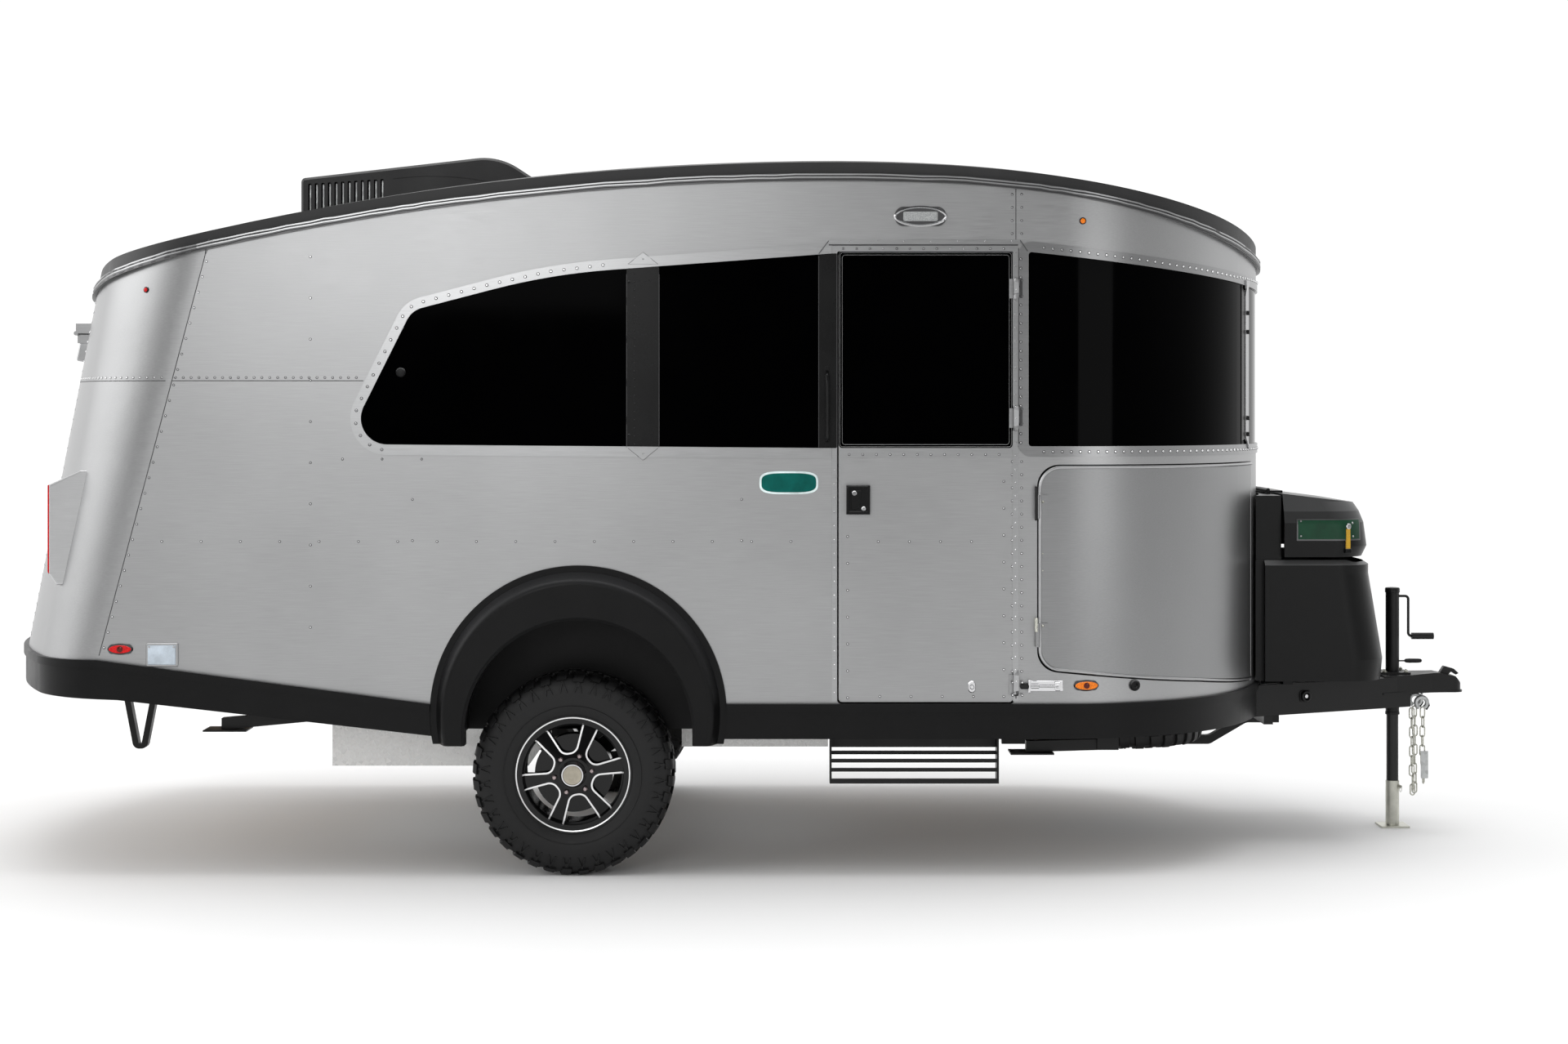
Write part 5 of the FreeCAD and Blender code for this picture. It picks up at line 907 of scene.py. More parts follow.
SPOKES = 6
WINDOW_ANGLE = 100
LINE_TOP_U = 0.185
LINE_TOP_V = 0.0733
LINE_FOOT_U = 0.0795
LINE_FOOT_V = 0.0262
LINE_ROUND = 0.034
LINE_WIDTH = 0.0065
LINE_STEPS = 6
NUT_CIRCLE = 0.073
NUT_ANGLE = 70
HUB_FACE = 0.092
LIP_PROFILE = [(0.0990, 0.2125), (0.1040, 0.2150), (0.1050, 0.2195), (0.1030, 0.2215)]
CAP_PROFILE = [(-0.010, 0.0516), (0.004, 0.0516), (0.010, 0.047), (0.030, 0.0435), (0.0365, 0.0415),
               (0.0365, 0.0375), (0.032, 0.036)]
NUT_PROFILE = [(-0.004, 0.0115), (0.0, 0.0100), (0.010, 0.0095), (0.014, 0.006)]
DISC_PROFILE = [(0.030, 0.036), (0.0365, 0.0355), (0.0355, 0.020), (0.0345, 0.0195)]


def add_face_lines(pile, side, name, centre):
    """The bright machined line round the foot and both edges of each window."""
    rim = surface_of([f"rim_{name}"])
    across = rounded([(LINE_TOP_U, -LINE_TOP_V, 0), (LINE_FOOT_U, -LINE_FOOT_V, LINE_ROUND),
                      (LINE_FOOT_U, LINE_FOOT_V, LINE_ROUND), (LINE_TOP_U, LINE_TOP_V, 0)])
    fine = [across[0].lerp(across[1], index / LINE_STEPS) for index in range(LINE_STEPS)] + across[1:-2]
    fine += [across[-2].lerp(across[-1], index / LINE_STEPS) for index in range(LINE_STEPS + 1)]
    for spoke in range(SPOKES):
        angle = math.radians(WINDOW_ANGLE - 360 / SPOKES * spoke)
        out = Vector((math.cos(angle), math.sin(angle)))
        turned = Vector((-out.y, out.x))
        spots = [out * spot.x + turned * spot.y for spot in fine]
        track = [on_side(centre.x + spot.x, centre.z + spot.y, side, rim) for spot in spots]
        pile.strip(track, LINE_WIDTH, 0.0012)


def make_wheel(side, name):
    centre = Vector((WHEEL_X, side * WHEEL_Y, WHEEL_Z))
    out = Vector((0, side, 0))
    face = centre + out * HUB_FACE
    body = f"wheel_{name}"
    make_tyre(f"tread_{name}", body, f"tyre_{name}", centre)
    lip = Pile(f"lip_{name}", "machined", body)
    lip.turned(centre, out, LIP_PROFILE, BEAD_SIDES, closed=True)
    add_face_lines(lip, side, name, centre)
    cap = Pile(f"cap_{name}", "chrome", body)
    cap.turned(face, out, CAP_PROFILE, 48)
    nuts = Pile(f"nuts_{name}", "nut", body)
    for index in range(SPOKES):
        angle = math.radians(90 - NUT_ANGLE - 360 / SPOKES * index)
        nuts.turned(face + wheel_point(0, NUT_CIRCLE, angle), out, NUT_PROFILE, 18)
    disc = Pile(f"cap_disc_{name}", "cap", body)
    disc.turned(face, out, DISC_PROFILE, 48)


for wheel_side, wheel_name in SIDE_NAMES:
    make_wheel(wheel_side, wheel_name)


# Door, jambs and posts

OUT = 0.0025
JAMB_X = 1.0125
JAMB_WIDTH = 0.021
JAMB_PITCH = 0.051
JAMB_TOP_Z = 2.3975
JAMB_LOW_Z = 0.672
WINDOW_SILL_Z = 1.637
WINDOW_HEAD_Z = 2.338
BODY_HALF = 1.145
OUTER_TRIM_Z = 2.423
OUTER_TRIM_HEIGHT = 0.017
OUTER_TRIM_RISE = OUT + 0.002
OUTER_REAR_X = 0.292
NOSE_COLUMN = ((1.0322, 2.375), (1.0322, 1.63))
REAR_JAMB_X = 0.3215
REAR_JAMB_WIDTH = 0.018
REAR_JAMB_PITCH = 0.053
REAR_JAMB_TOP_Z = 1.5795
JAMB_RIVET_RISE = 0.0001
OUTER_FRONT_X = 1.030
HEAD_ROWS = (((0.33, 2.3975), (0.9825, 2.3975), JAMB_PITCH), ((0.33, 2.426), (1.02, 2.426), 0.103))
JOINT_LINES = (((0.300, 2.41175), (1.022, 2.41175), 0.005, 0.0037),
               ((1.024, 1.64), (1.024, 2.40), 0.003, 0.0018),
               ((0.262, 2.378), (0.300, 2.428), 0.0022, 0.0072),
               ((1.004, 2.388), (1.022, 2.407), 0.0022, 0.0072),
               ((1.030, 2.43), (1.058, 2.388), 0.0022, 0.0072))
SILL_Z = 1.6195
SILL_HEIGHT = 0.036
SILL_RISE = 0.003
SILL_ROW = ((0.352, 1.6125), (0.985, 1.6125))
SILL_PITCH = 0.052
DOOR_ROWS = ((1.2806, 0.489, 0.855, 0.1186), (0.690, 0.495, 0.862, 0.119))
DOOR_COLUMNS = ((0.372, 1.300, 0.66), (0.968, 1.510, 0.66))
DOOR_COLUMN_PITCH = 0.1025
GASKET_GAP = 0.0005
CATCH_PLACE = (0.846, 0.727)


def flat_strip(pile, start, end, width, height=OUT):
    pile.strip(side_track([start, end]), width, height)


def raised(track, rise):
    """A track on the right side, moved outwards."""
    return [(point + RIGHT * rise, normal) for point, normal in track]


def make_jambs():
    """The riveted frame round the door opening. Both its joints at the top are mitred."""
    metal = Pile("door_jambs", "trim", smooth=False)
    rivets = Pile("jamb_rivets", "rivet", shadow_ringed=True)
    lines = Pile("jamb_joints", "sealant_and_shadow", smooth=False)
    high = JAMB_TOP_Z + JAMB_WIDTH / 2
    flat_strip(metal, (JAMB_X, JAMB_LOW_Z), (JAMB_X, high), JAMB_WIDTH)
    flat_strip(metal, (REAR_JAMB_X, JAMB_LOW_Z), (REAR_JAMB_X, WINDOW_SILL_Z), REAR_JAMB_WIDTH)
    flat_strip(metal, (REAR_JAMB_X - 0.01, JAMB_TOP_Z), (JAMB_X, JAMB_TOP_Z), JAMB_WIDTH, OUT + 0.0004)
    flat_strip(metal, (OUTER_REAR_X, OUTER_TRIM_Z), (OUTER_FRONT_X, OUTER_TRIM_Z), OUTER_TRIM_HEIGHT,
               OUTER_TRIM_RISE)
    for x, top, pitch in ((JAMB_X, high, JAMB_PITCH), (REAR_JAMB_X, REAR_JAMB_TOP_Z, REAR_JAMB_PITCH)):
        rivets.rivet_row(raised(side_track([(x, top), (x, JAMB_LOW_Z)]), JAMB_RIVET_RISE), pitch)
    for start, end, pitch in HEAD_ROWS:
        rivets.rivet_row(raised(side_track([start, end]), OUT), pitch)
    rivets.rivet_row(side_track(NOSE_COLUMN), NOSE_PITCH, RIVET_RADIUS)
    for start, end, width, height in JOINT_LINES:
        flat_strip(lines, start, end, width, height)


def make_door_details():
    """Trim, rivets and gaskets that swing with the door."""
    metal = Pile("door_trim", "trim", "entry_door", smooth=False)
    rivets = Pile("door_rivets", "rivet", "entry_door", shadow_ringed=True)
    rubber = Pile("door_gasket", "glass", "entry_door", smooth=False)
    catch = Pile("door_catch", "chrome", "entry_door")
    flat_strip(metal, (DOOR_REAR_X + 0.002, SILL_Z), (DOOR_FRONT_X - 0.002, SILL_Z), SILL_HEIGHT, SILL_RISE)
    flat_strip(metal, (DOOR_REAR_X + 0.006, 0.74), (DOOR_REAR_X + 0.006, 1.60), 0.006, 0.0015)
    rivets.rivet_row(raised(side_track(SILL_ROW), SILL_RISE), SILL_PITCH)
    for x, top, low in DOOR_COLUMNS:
        rivets.rivet_row(side_track([(x, top), (x, low)]), DOOR_COLUMN_PITCH, start=0.0)
    for z, rear, front, pitch in DOOR_ROWS:
        rivets.rivet_row(side_track([(rear, z), (front, z)]), pitch, start=0.0)
    middle = Vector(((DOOR_REAR_X + DOOR_FRONT_X) / 2, -BODY_HALF, (DOOR_TOP_Z + WINDOW_SILL_Z) / 2))
    half_width = (DOOR_FRONT_X - DOOR_REAR_X) / 2 - GASKET_GAP
    half_height = (DOOR_TOP_Z - WINDOW_SILL_Z) / 2 - GASKET_GAP
    rubber.frame(middle, RIGHT, rectangle(half_width, half_height, 0.014), 0.022, 0.0018)
    for inset in (0.004, 0.0125):
        metal.frame(middle, RIGHT, rectangle(half_width - inset, half_height - inset, 0.012), 0.0011,
                    0.0026, 0.0003)
    place, normal = on_side(*CATCH_PLACE)
    catch.plate(place, normal, rectangle(0.0145, 0.0225, 0.0144), 0.006, 0.003)
    catch.turned(place, normal, [(0.0, 0.0085), (0.014, 0.0085), (0.017, 0.006)], 20)


HANDLE_PLACE = Vector((0.412, -1.1455, 1.440))
HANDLE_LOCKS = ((-0.0145, 0.0265), (0.021, -0.0335))
LOCK_PROFILE = [(0.020, 0.0088), (0.0285, 0.0088), (0.0300, 0.0072), (0.0300, 0.0055), (0.0288, 0.0050)]


def make_handle():
    """Flush handle: a bezel round a recess, with a paddle and two lock cylinders."""
    bezel = Pile("handle_bezel", "post", "entry_door")
    bezel.frame(HANDLE_PLACE, RIGHT, rectangle(0.0445, 0.0545, 0.012), 0.0125, 0.030, 0.003)
    bezel.plate(HANDLE_PLACE + Vector((0.006, 0, 0)), RIGHT, rectangle(0.034, 0.044, 0.006), 0.021, 0.001)
    paddle = Pile("handle_paddle", "box", "entry_door")
    outline = rounded([(-0.021, -0.038, 0.006), (0.006, -0.038, 0.014), (0.020, -0.012, 0.012),
                       (0.020, 0.038, 0.005), (-0.021, 0.038, 0.005)])
    paddle.plate(HANDLE_PLACE + Vector((-0.008, 0, 0)), RIGHT, outline, 0.0265, 0.003)
    locks = Pile("handle_locks", "chrome", "entry_door")
    for x, z in HANDLE_LOCKS:
        locks.turned(HANDLE_PLACE + Vector((x, 0, z)), RIGHT, LOCK_PROFILE, 28)


GRAB_X = 0.2935
GRAB_REACH = 0.040
GRAB_LOW_Z = 1.662
GRAB_HIGH_Z = 1.930


def make_grab_bar():
    bar = Pile("grab_bar", "post")
    low, high = (Vector((GRAB_X, -BODY_HALF, z)) for z in (GRAB_LOW_Z, GRAB_HIGH_Z))
    bend = RIGHT * GRAB_REACH * 0.8 + UP * 0.012
    crest = RIGHT * GRAB_REACH + UP * 0.045
    mirror = Vector((1, 1, -1))
    path = smooth_path([low, low + bend, low + crest, high + crest * mirror, high + bend * mirror, high])
    bar.tube(path, 0.0065, 12, reach=0.005)
    for foot in (low, high):
        bar.plate(foot, RIGHT, rectangle(0.0085, 0.02, 0.008), 0.004, 0.001)


POST_SCREWS = ((-0.441, 2.318), (-0.441, 1.65))
POST_BOLT_X = -0.462
POST_BOLTS_Z = (2.270, 1.686)
KNOB_TURNING = [(0.0, 0.0185), (0.010, 0.0185), (0.014, 0.015), (0.015, 0.008)]
WINDOW_KNOB = (-1.332, 1.9255)
GLASS_LOW_Z = 1.64
DOOR_EDGE_X = 0.331
POST_TIP = 0.046
MITRE_RISE = 0.020


def make_posts():
    """Screw row, knob, edges and mitres on the dark glass band."""
    dots = Pile("post_screws", "box")
    for side in SIDES:
        dots.rivet_row(side_track(POST_SCREWS, side), 0.031, 0.0026)
        for z in POST_BOLTS_Z:
            dots.dome(*on_side(POST_BOLT_X, z, side), 0.006, 0.003)
        place, normal = on_side(*WINDOW_KNOB, side)
        dots.turned(place, normal, KNOB_TURNING, 32)
    lines = Pile("post_edges", "sealant_and_shadow", smooth=False)
    for side in SIDES:
        for x in (REAR_POST[0], REAR_POST[1], DOOR_POST[0]):
            lines.strip(side_track([(x, GLASS_LOW_Z), (x, 2.30 if x < 0 else 2.37)], side), 0.0022, 0.0008)
    lines.strip(side_track([(DOOR_EDGE_X, GLASS_LOW_Z), (DOOR_EDGE_X, 2.38)]), 0.0018, 0.0010)
    mitres = Pile("post_mitres", "trim", smooth=False)
    joints = Pile("post_mitre_joints", "sealant_and_shadow", smooth=False)
    x_low, x_high = REAR_POST[0] + 0.006, REAR_POST[1] - 0.004
    middle = (x_low + x_high) / 2
    for side in SIDES:
        for z, tip in ((WINDOW_SILL_Z, -1), (WINDOW_HEAD_Z, 1)):
            corners = [(x_low, z), (x_high, z), (middle, z + tip * POST_TIP)]
            spot, normal = on_side(middle, z + tip * MITRE_RISE, side)
            outline = [Vector(((u - middle) * -side, v - z - tip * MITRE_RISE)) for u, v in corners]
            mitres.plate(spot, normal, outline, 0.0022, 0.0008)
            for foot in corners[:2]:
                joints.strip(side_track([foot, corners[2]], side), 0.0016, 0.0030)
            mitres.dome(spot + normal * 0.002, normal, SMALL_RIVET, RIVET_HEIGHT)


make_jambs()
make_door_details()
make_handle()
make_grab_bar()
make_posts()


# Storage doors, lamps and fittings on the body

STORAGE_REAR_X = 1.101
STORAGE_TOP_Z = 1.568
STORAGE_LOW = ((1.101, 0.795), (1.750, 0.727), (2.184, 0.664))
STORAGE_FRONT_Y = 0.500
STORAGE_ROUND = 0.084
STORAGE_FRONT_X = 1.16
STORAGE_FLAT_X = 1.6
STORAGE_SPLIT_X = 1.25
STORAGE_TURNS = (72, 69)
STORAGE_SCREWS_X = 1.1165
STORAGE_SCREWS = ((1.432, 0.0055, 0.004), (0.960, 0.0055, 0.004), (1.235, 0.003, 0.002),
                  (1.170, 0.003, 0.002))


def storage_low(x):
    """Height of the door's lower edge, which drops in two runs."""
    run = STORAGE_LOW[:2] if x < STORAGE_LOW[1][0] else STORAGE_LOW[1:]
    (start_x, start_z), (end_x, end_z) = run
    return start_z + (end_z - start_z) * (x - start_x) / (end_x - start_x)


def storage_track(side, inset):
    """The outline of a storage door on the skin, from its front top corner round to its front low one."""
    front_angle = side * math.atan2(STORAGE_FRONT_Y + inset, STORAGE_FRONT_X)
    top_angle, low_angle = (side * math.radians(angle) for angle in STORAGE_TURNS)
    x, top = STORAGE_REAR_X + inset, STORAGE_TOP_Z - inset
    radius = STORAGE_ROUND - inset

    def low(place_x):
        return storage_low(place_x) + inset

    flat = rounded([(STORAGE_FLAT_X, top, 0), (x, top, radius), (x, low(x), radius),
                    (STORAGE_FLAT_X, low(STORAGE_FLAT_X), 0)])
    track = turn_track(on_nose, top, front_angle, top_angle)
    track += side_track([(spot.x, spot.y) for spot in flat if spot.x < STORAGE_SPLIT_X], side)
    return track + turn_track(on_nose, low, low_angle, front_angle)


def make_storage_details():
    """The bright rim and the screws of each storage door."""
    for side, name in SIDE_NAMES:
        body = f"storage_door_{name}"
        rim = Pile(f"storage_rim_{name}", "trim", body)
        track = storage_track(side, 0.0045)
        rim.tube([point + normal * 0.0005 for point, normal in track], 0.0066, 10)
        screws = Pile(f"storage_screws_{name}", "zinc", body)
        for z, radius, height in STORAGE_SCREWS:
            screws.dome(*on_side(STORAGE_SCREWS_X, z, side), radius, height)


make_storage_details()


OVAL_LAMPS = ((-2.402, 0.8705, "red"), (1.283, 0.731, "orange"))
OVAL_LAMP_SIZE = (0.049, 0.0215)
ROUND_LAMPS = ((1.270, 2.504, "orange", 0.0135), (-2.315, 2.243, "red", 0.0115))


def add_oval_lamp(rim, lens, middle, place, normal, half_width, half_height):
    """A flat oval marker lamp: a thin rim, a lens and a round middle."""
    rim.plate(place, normal, oval(half_width, half_height), 0.004, 0.002)
    lens.plate(place, normal, oval(half_width - 0.004, half_height - 0.004), 0.009, 0.004)
    middle.turned(place, normal, [(0.006, 0.0115), (0.0105, 0.0115), (0.0115, 0.009)], 24)


def make_marker_lamps():
    """Lamps of both sides: ovals low down and small round ones under the roof rail."""
    rim = Pile("marker_rims", "box")
    lenses = {colour: Pile(f"{colour}_markers", colour) for colour in ("red", "orange")}
    middle = Pile("marker_middles", "dark_lens")
    for side in SIDES:
        for x, z, colour in OVAL_LAMPS:
            place, normal = on_side(x, z, side)
            add_oval_lamp(rim, lenses[colour], middle, place, normal, *OVAL_LAMP_SIZE)
        for x, z, colour, radius in ROUND_LAMPS:
            place, normal = on_side(x, z, side)
            rim.turned(place, normal, [(0.0, radius), (0.003, radius), (0.004, radius * 0.8)], 24)
            lenses[colour].dome(place + normal * 0.002, normal, radius * 0.78, 0.006, 20)


PORCH_PLACE = (0.650, 2.5205)


def make_porch_lamp():
    """An oval lamp over the door: a bezel, a dark well and a lens."""
    place, normal = on_side(*PORCH_PLACE)
    bezel = Pile("porch_bezel", "chrome")
    bezel.frame(place, normal, oval(0.102, 0.0400, 64), 0.010, 0.014, 0.005)
    well = Pile("porch_well", "dark_metal")
    well.plate(place, normal, oval(0.093, 0.032, 64), 0.006, 0.001)
    lens = Pile("porch_lens", "clear")
    lens.plate(place, normal, rectangle(0.066, 0.0185, 0.007), 0.015, 0.006)


BADGE_PLACE = (0.148, 1.505)
INLET_PLACE = (-2.242, 0.849)
OUTLET_PLACE = (1.474, 0.727)
OUTLET_FACING = Vector((0.30, -0.95, 0)).normalized()
OUTLET_TURNING = [(-0.004, 0.022), (0.006, 0.022), (0.008, 0.019), (0.012, 0.017), (0.012, 0.009),
                  (0.006, 0.008)]
HOLDBACK_Z = 0.730
RAIL_X = 1.128
KEEPER_X = 1.064
STOP_X = 1.172
ROD_X = 1.07
ROD_TURNING = [(0.0, 0.0085), (0.030, 0.0085), (0.032, 0.005), (0.096, 0.005), (0.098, 0.0075),
               (0.105, 0.0075)]
BUMPER_TURNING = [(0.0, 0.0085), (0.004, 0.0105), (0.028, 0.0105), (0.032, 0.0085)]


def make_badge():
    """A blank squarish oval plate on the right side."""
    place, normal = on_side(*BADGE_PLACE)
    border = Pile("plate_border", "pale")
    border.plate(place, normal, oval(0.112, 0.044, 72, 3.6), 0.003, 0.001)
    plate = Pile("blank_plate", "teal")
    plate.plate(place, normal, oval(0.1045, 0.0365, 72, 3.6), 0.0036, 0.0004)


def make_inlet_and_outlet():
    """The framed inlet cover near the tail and the round outlet low on the front of the side."""
    frame_ring = Pile("inlet_frame", "trim")
    cover = Pile("inlet_cover", "inlet")
    place, normal = on_side(*INLET_PLACE)
    frame_ring.plate(place, normal, rectangle(0.061, 0.045, 0.006), 0.008, 0.002)
    cover.plate(place, normal, rectangle(0.053, 0.037, 0.003), 0.013, 0.002)
    for x in (-0.047, 0.047):
        frame_ring.dome(place + Vector((x, -0.0128, 0.031)), normal, 0.0045, 0.002)
    outlet = Pile("outlet", "box")
    place = on_side(*OUTLET_PLACE)[0]
    outlet.turned(place, OUTLET_FACING, OUTLET_TURNING, 28)


def make_holdback():
    """The rail and bumper that hold the opened door."""
    holdback = Pile("holdback", "chrome")
    place, normal = on_side(RAIL_X, HOLDBACK_Z)
    holdback.plate(place, normal, rectangle(0.066, 0.020, 0.004), 0.003, 0.001)
    holdback.plate(on_side(KEEPER_X, HOLDBACK_Z)[0], RIGHT, rectangle(0.0045, 0.024, 0.002), 0.020, 0.001)
    holdback.plate(on_side(STOP_X, HOLDBACK_Z)[0], RIGHT, rectangle(0.010, 0.017, 0.004), 0.018, 0.002)
    spot = Vector((ROD_X, -BODY_HALF - 0.014, HOLDBACK_Z))
    holdback.turned(spot, AHEAD, ROD_TURNING, 18)
    for x in (-0.043, 0.022):
        holdback.dome(place + Vector((x, -0.003, 0)), normal, 0.006, 0.004)
    bumper = Pile("holdback_bumper", "rubber")
    bumper.turned(spot - AHEAD * 0.040, AHEAD, BUMPER_TURNING, 20)


make_marker_lamps()
make_porch_lamp()
make_badge()
make_inlet_and_outlet()
make_holdback()


NOSE_BAR_X = 2.000
NOSE_BAR_WIDTH = 0.052
NOSE_BAR_KNOBS = (2.174, 2.097, 1.749, 1.684)
HINGE_MARK_X = 1.0330
HINGE_MARKS = ((2.284, 2.209), (1.794, 1.722))


def make_nose_bars():
    """The metal bar between the side and front panes of the nose, and its four black knobs."""
    bars = Pile("nose_bars", "trim", smooth=False)
    knobs = Pile("nose_knobs", "post")
    for side in SIDES:
        track = side_track([(NOSE_BAR_X, 1.640), (NOSE_BAR_X, nose_top(NOSE_BAR_X))], side, tree=nose_glass)
        bars.strip(track, NOSE_BAR_WIDTH, 0.006)
        for z in NOSE_BAR_KNOBS:
            point, normal = on_side(NOSE_BAR_X, z, side, nose_glass)
            knobs.turned(point, normal, [(0.004, 0.0090), (0.013, 0.0090), (0.016, 0.0070)], 20)
    marks = Pile("hinge_marks", "dark_metal")
    for top, low in HINGE_MARKS:
        point, normal = on_side(HINGE_MARK_X, (top + low) / 2)
        marks.plate(point, normal, rectangle(0.0055, (top - low) / 2, 0.002), 0.0052, 0.001)
        for z in (top - 0.008, low + 0.008):
            marks.dome(point + Vector((0.004, -0.005, z - (top + low) / 2)), normal, 0.0045, 0.003)


nose_glass = surface_of(["glass_front", "window_trim_front"])
make_nose_bars()


# Roof rail

RAIL_SCAN_TOP = 2.85
RAIL_SCAN_LOW = 1.95
RAIL_SCAN_STEP = 0.004
RAIL_STEPS = 26
RAIL_WAYS = 180
# Bright trim strips are painted highlights on the rail's beads; dark roof strips are painted shade in its
# grooves.
RAIL_LINES = (("trim", 0.90, 0.0050, 0.0012), ("roof", 0.66, 0.0045, 0.0006), ("trim", 0.46, 0.0050, 0.0012),
              ("roof", 0.10, 0.0035, 0.0006))
rail_shell = surface_of(["drip_rail"])


def rail_reach(origin, way):
    """The heights of the rail's top and bottom on one way in from outside."""
    hits = []
    for index in range(int((RAIL_SCAN_TOP - RAIL_SCAN_LOW) / RAIL_SCAN_STEP)):
        z = RAIL_SCAN_TOP - index * RAIL_SCAN_STEP
        if rail_shell.ray_cast(Vector((origin.x, origin.y, z)), way, FAR)[0]:
            hits.append(z)
        elif hits:
            break
    return hits[0], hits[-1]


def rail_ways():
    """Ways in towards the rail, all round the roof."""
    ways = []
    for index in range(RAIL_WAYS):
        angle = 2 * math.pi * index / RAIL_WAYS
        out = Vector((math.cos(angle), math.sin(angle), 0))
        middle = Vector((NOSE_AXIS_X if out.x > 0 else TAIL_AXIS_X, 0, 0))
        ways.append((middle + out * FAR, -out))
    run = NOSE_AXIS_X - TAIL_AXIS_X
    flat = [Vector((TAIL_AXIS_X + run * index / RAIL_STEPS, FAR, 0)) for index in range(1, RAIL_STEPS)]
    left = [(spot, RIGHT) for spot in reversed(flat)]
    right = [(Vector((spot.x, -spot.y, 0)), -RIGHT) for spot in flat]
    quarter = RAIL_WAYS // 4
    return ways[:quarter] + left + ways[quarter + 1:3 * quarter] + right + ways[3 * quarter + 1:]


def make_rail_lines():
    """Two bright beads and two dark grooves along the rail that edges the roof: bright strips are painted
    highlights, dark ones painted shade.
    """
    reaches = [(origin, way, *rail_reach(origin, way)) for origin, way in rail_ways()]
    lines = {"trim": Pile("rail_bead_highlights", "trim", smooth=False),
             "roof": Pile("rail_groove_shade", "roof", smooth=False)}
    for finish_name, share, width, height in RAIL_LINES:
        track = [cast(Vector((origin.x, origin.y, low + (top - low) * share)), way, rail_shell)
                 for origin, way, top, low in reaches]
        lines[finish_name].strip(track, width, height, closed=True)


make_rail_lines()


# Front box

box_shell = surface_of(["storage_box", "box_lid"])
PLATE_LOW = (2.224, 1.247)
PLATE_HIGH = (2.494, 1.336)
PLATE_BORDER = 0.006
PLATE_STEP = 0.010
PLATE_SCREWS = ((2.241, 1.326), (2.241, 1.266), (2.456, 1.318), (2.458, 1.264))
STRAP_X = 2.4345
STRAP_TOP_Z = 1.294
STRAP_WIDTH = 0.019
STRAP_DROPS = (0.016, 0.032)
LID_EDGE_Z = 1.237
LOCK_PLACE = (2.436, 1.305)
LOCK_TURNING = [(0.0, 0.0118), (0.008, 0.0118), (0.010, 0.0095), (0.010, 0.005), (0.008, 0.004)]


def box_grid(inset):
    low_x, low_z = PLATE_LOW[0] + inset, PLATE_LOW[1] + inset
    high_x, high_z = PLATE_HIGH[0] - inset, PLATE_HIGH[1] - inset
    columns = int((high_x - low_x) / PLATE_STEP)
    rows = int((high_z - low_z) / PLATE_STEP)
    return [[on_side(low_x + (high_x - low_x) * column / columns, low_z + (high_z - low_z) * row / rows,
                     tree=box_shell) for column in range(columns + 1)] for row in range(rows + 1)]


def make_box_details():
    """The blank plate that wraps the lid's corner, its lock, and the strap with its clip."""
    border = Pile("box_plate_border", "rail", "box_lid", smooth=False)
    plate = Pile("box_plate", "green", "box_lid")
    screws = Pile("box_plate_screws", "trim", "box_lid")
    lock = Pile("box_lock", "chrome", "box_lid")
    strap = Pile("box_strap", "yellow", "box_lid", smooth=False)
    clip = Pile("box_strap_clip", "box", "box_lid", smooth=False)
    border.sheet(box_grid(0.0), 0.0025)
    plate.sheet(box_grid(PLATE_BORDER), 0.0031)
    for x, z in PLATE_SCREWS:
        screws.dome(*on_side(x, z, tree=box_shell), 0.0055, 0.006)
    place, normal = on_side(*LOCK_PLACE, tree=box_shell)
    lock.turned(place, normal, LOCK_TURNING, 28)
    track = side_track([(STRAP_X, STRAP_TOP_Z), (STRAP_X, LID_EDGE_Z)], tree=box_shell, step=0.006)
    edge, normal = track[-1]
    track += [(edge - UP * drop, normal) for drop in STRAP_DROPS]
    strap.strip(track, STRAP_WIDTH, 0.0062)
    clip.plate(track[-1][0], normal, rectangle(0.014, 0.009, 0.002), 0.010, 0.002)


make_box_details()


# Drawbar, jack and chains

chassis = surface_of(["chassis_frame"])
JACK_X = 2.734
JACK_TOP_Z = 1.019
COLLAR_Z = 0.479
PLATE_TOP_Z = 0.663
BOLT_REACH = 0.046
PIN_Z = 0.171
TUBE_REACH = 0.0275
SHOE_TOP_Z = 0.1965
PIN_RING = 0.011
CAP_TURNING = [(-0.020, 0.0286), (-0.019, 0.0312), (-0.003, 0.0312), (0.001, 0.0285), (0.0022, 0.0200)]
COLLAR_TURNING = [(-0.001, 0.0290), (0.0, 0.0302), (0.010, 0.0302), (0.012, 0.0284)]
GRIP_TURNING = [(0.0, 0.0050), (0.006, 0.0085), (0.020, 0.0095), (0.058, 0.0090), (0.068, 0.0080),
                (0.073, 0.0050)]
BOLT_TURNING = [(-0.001, 0.013), (0.0018, 0.013), (0.0018, 0.0085), (0.0085, 0.0085), (0.0095, 0.0070)]
PIN_TURNING = [(0.0, 0.0105), (0.003, 0.0105), (0.004, 0.0065), (0.013, 0.0065), (0.0145, 0.005)]
ROD_PLACE = Vector((2.757, -0.012, 0.708))
GRIP_PLACE = Vector((2.783, -0.012, 0.7085))


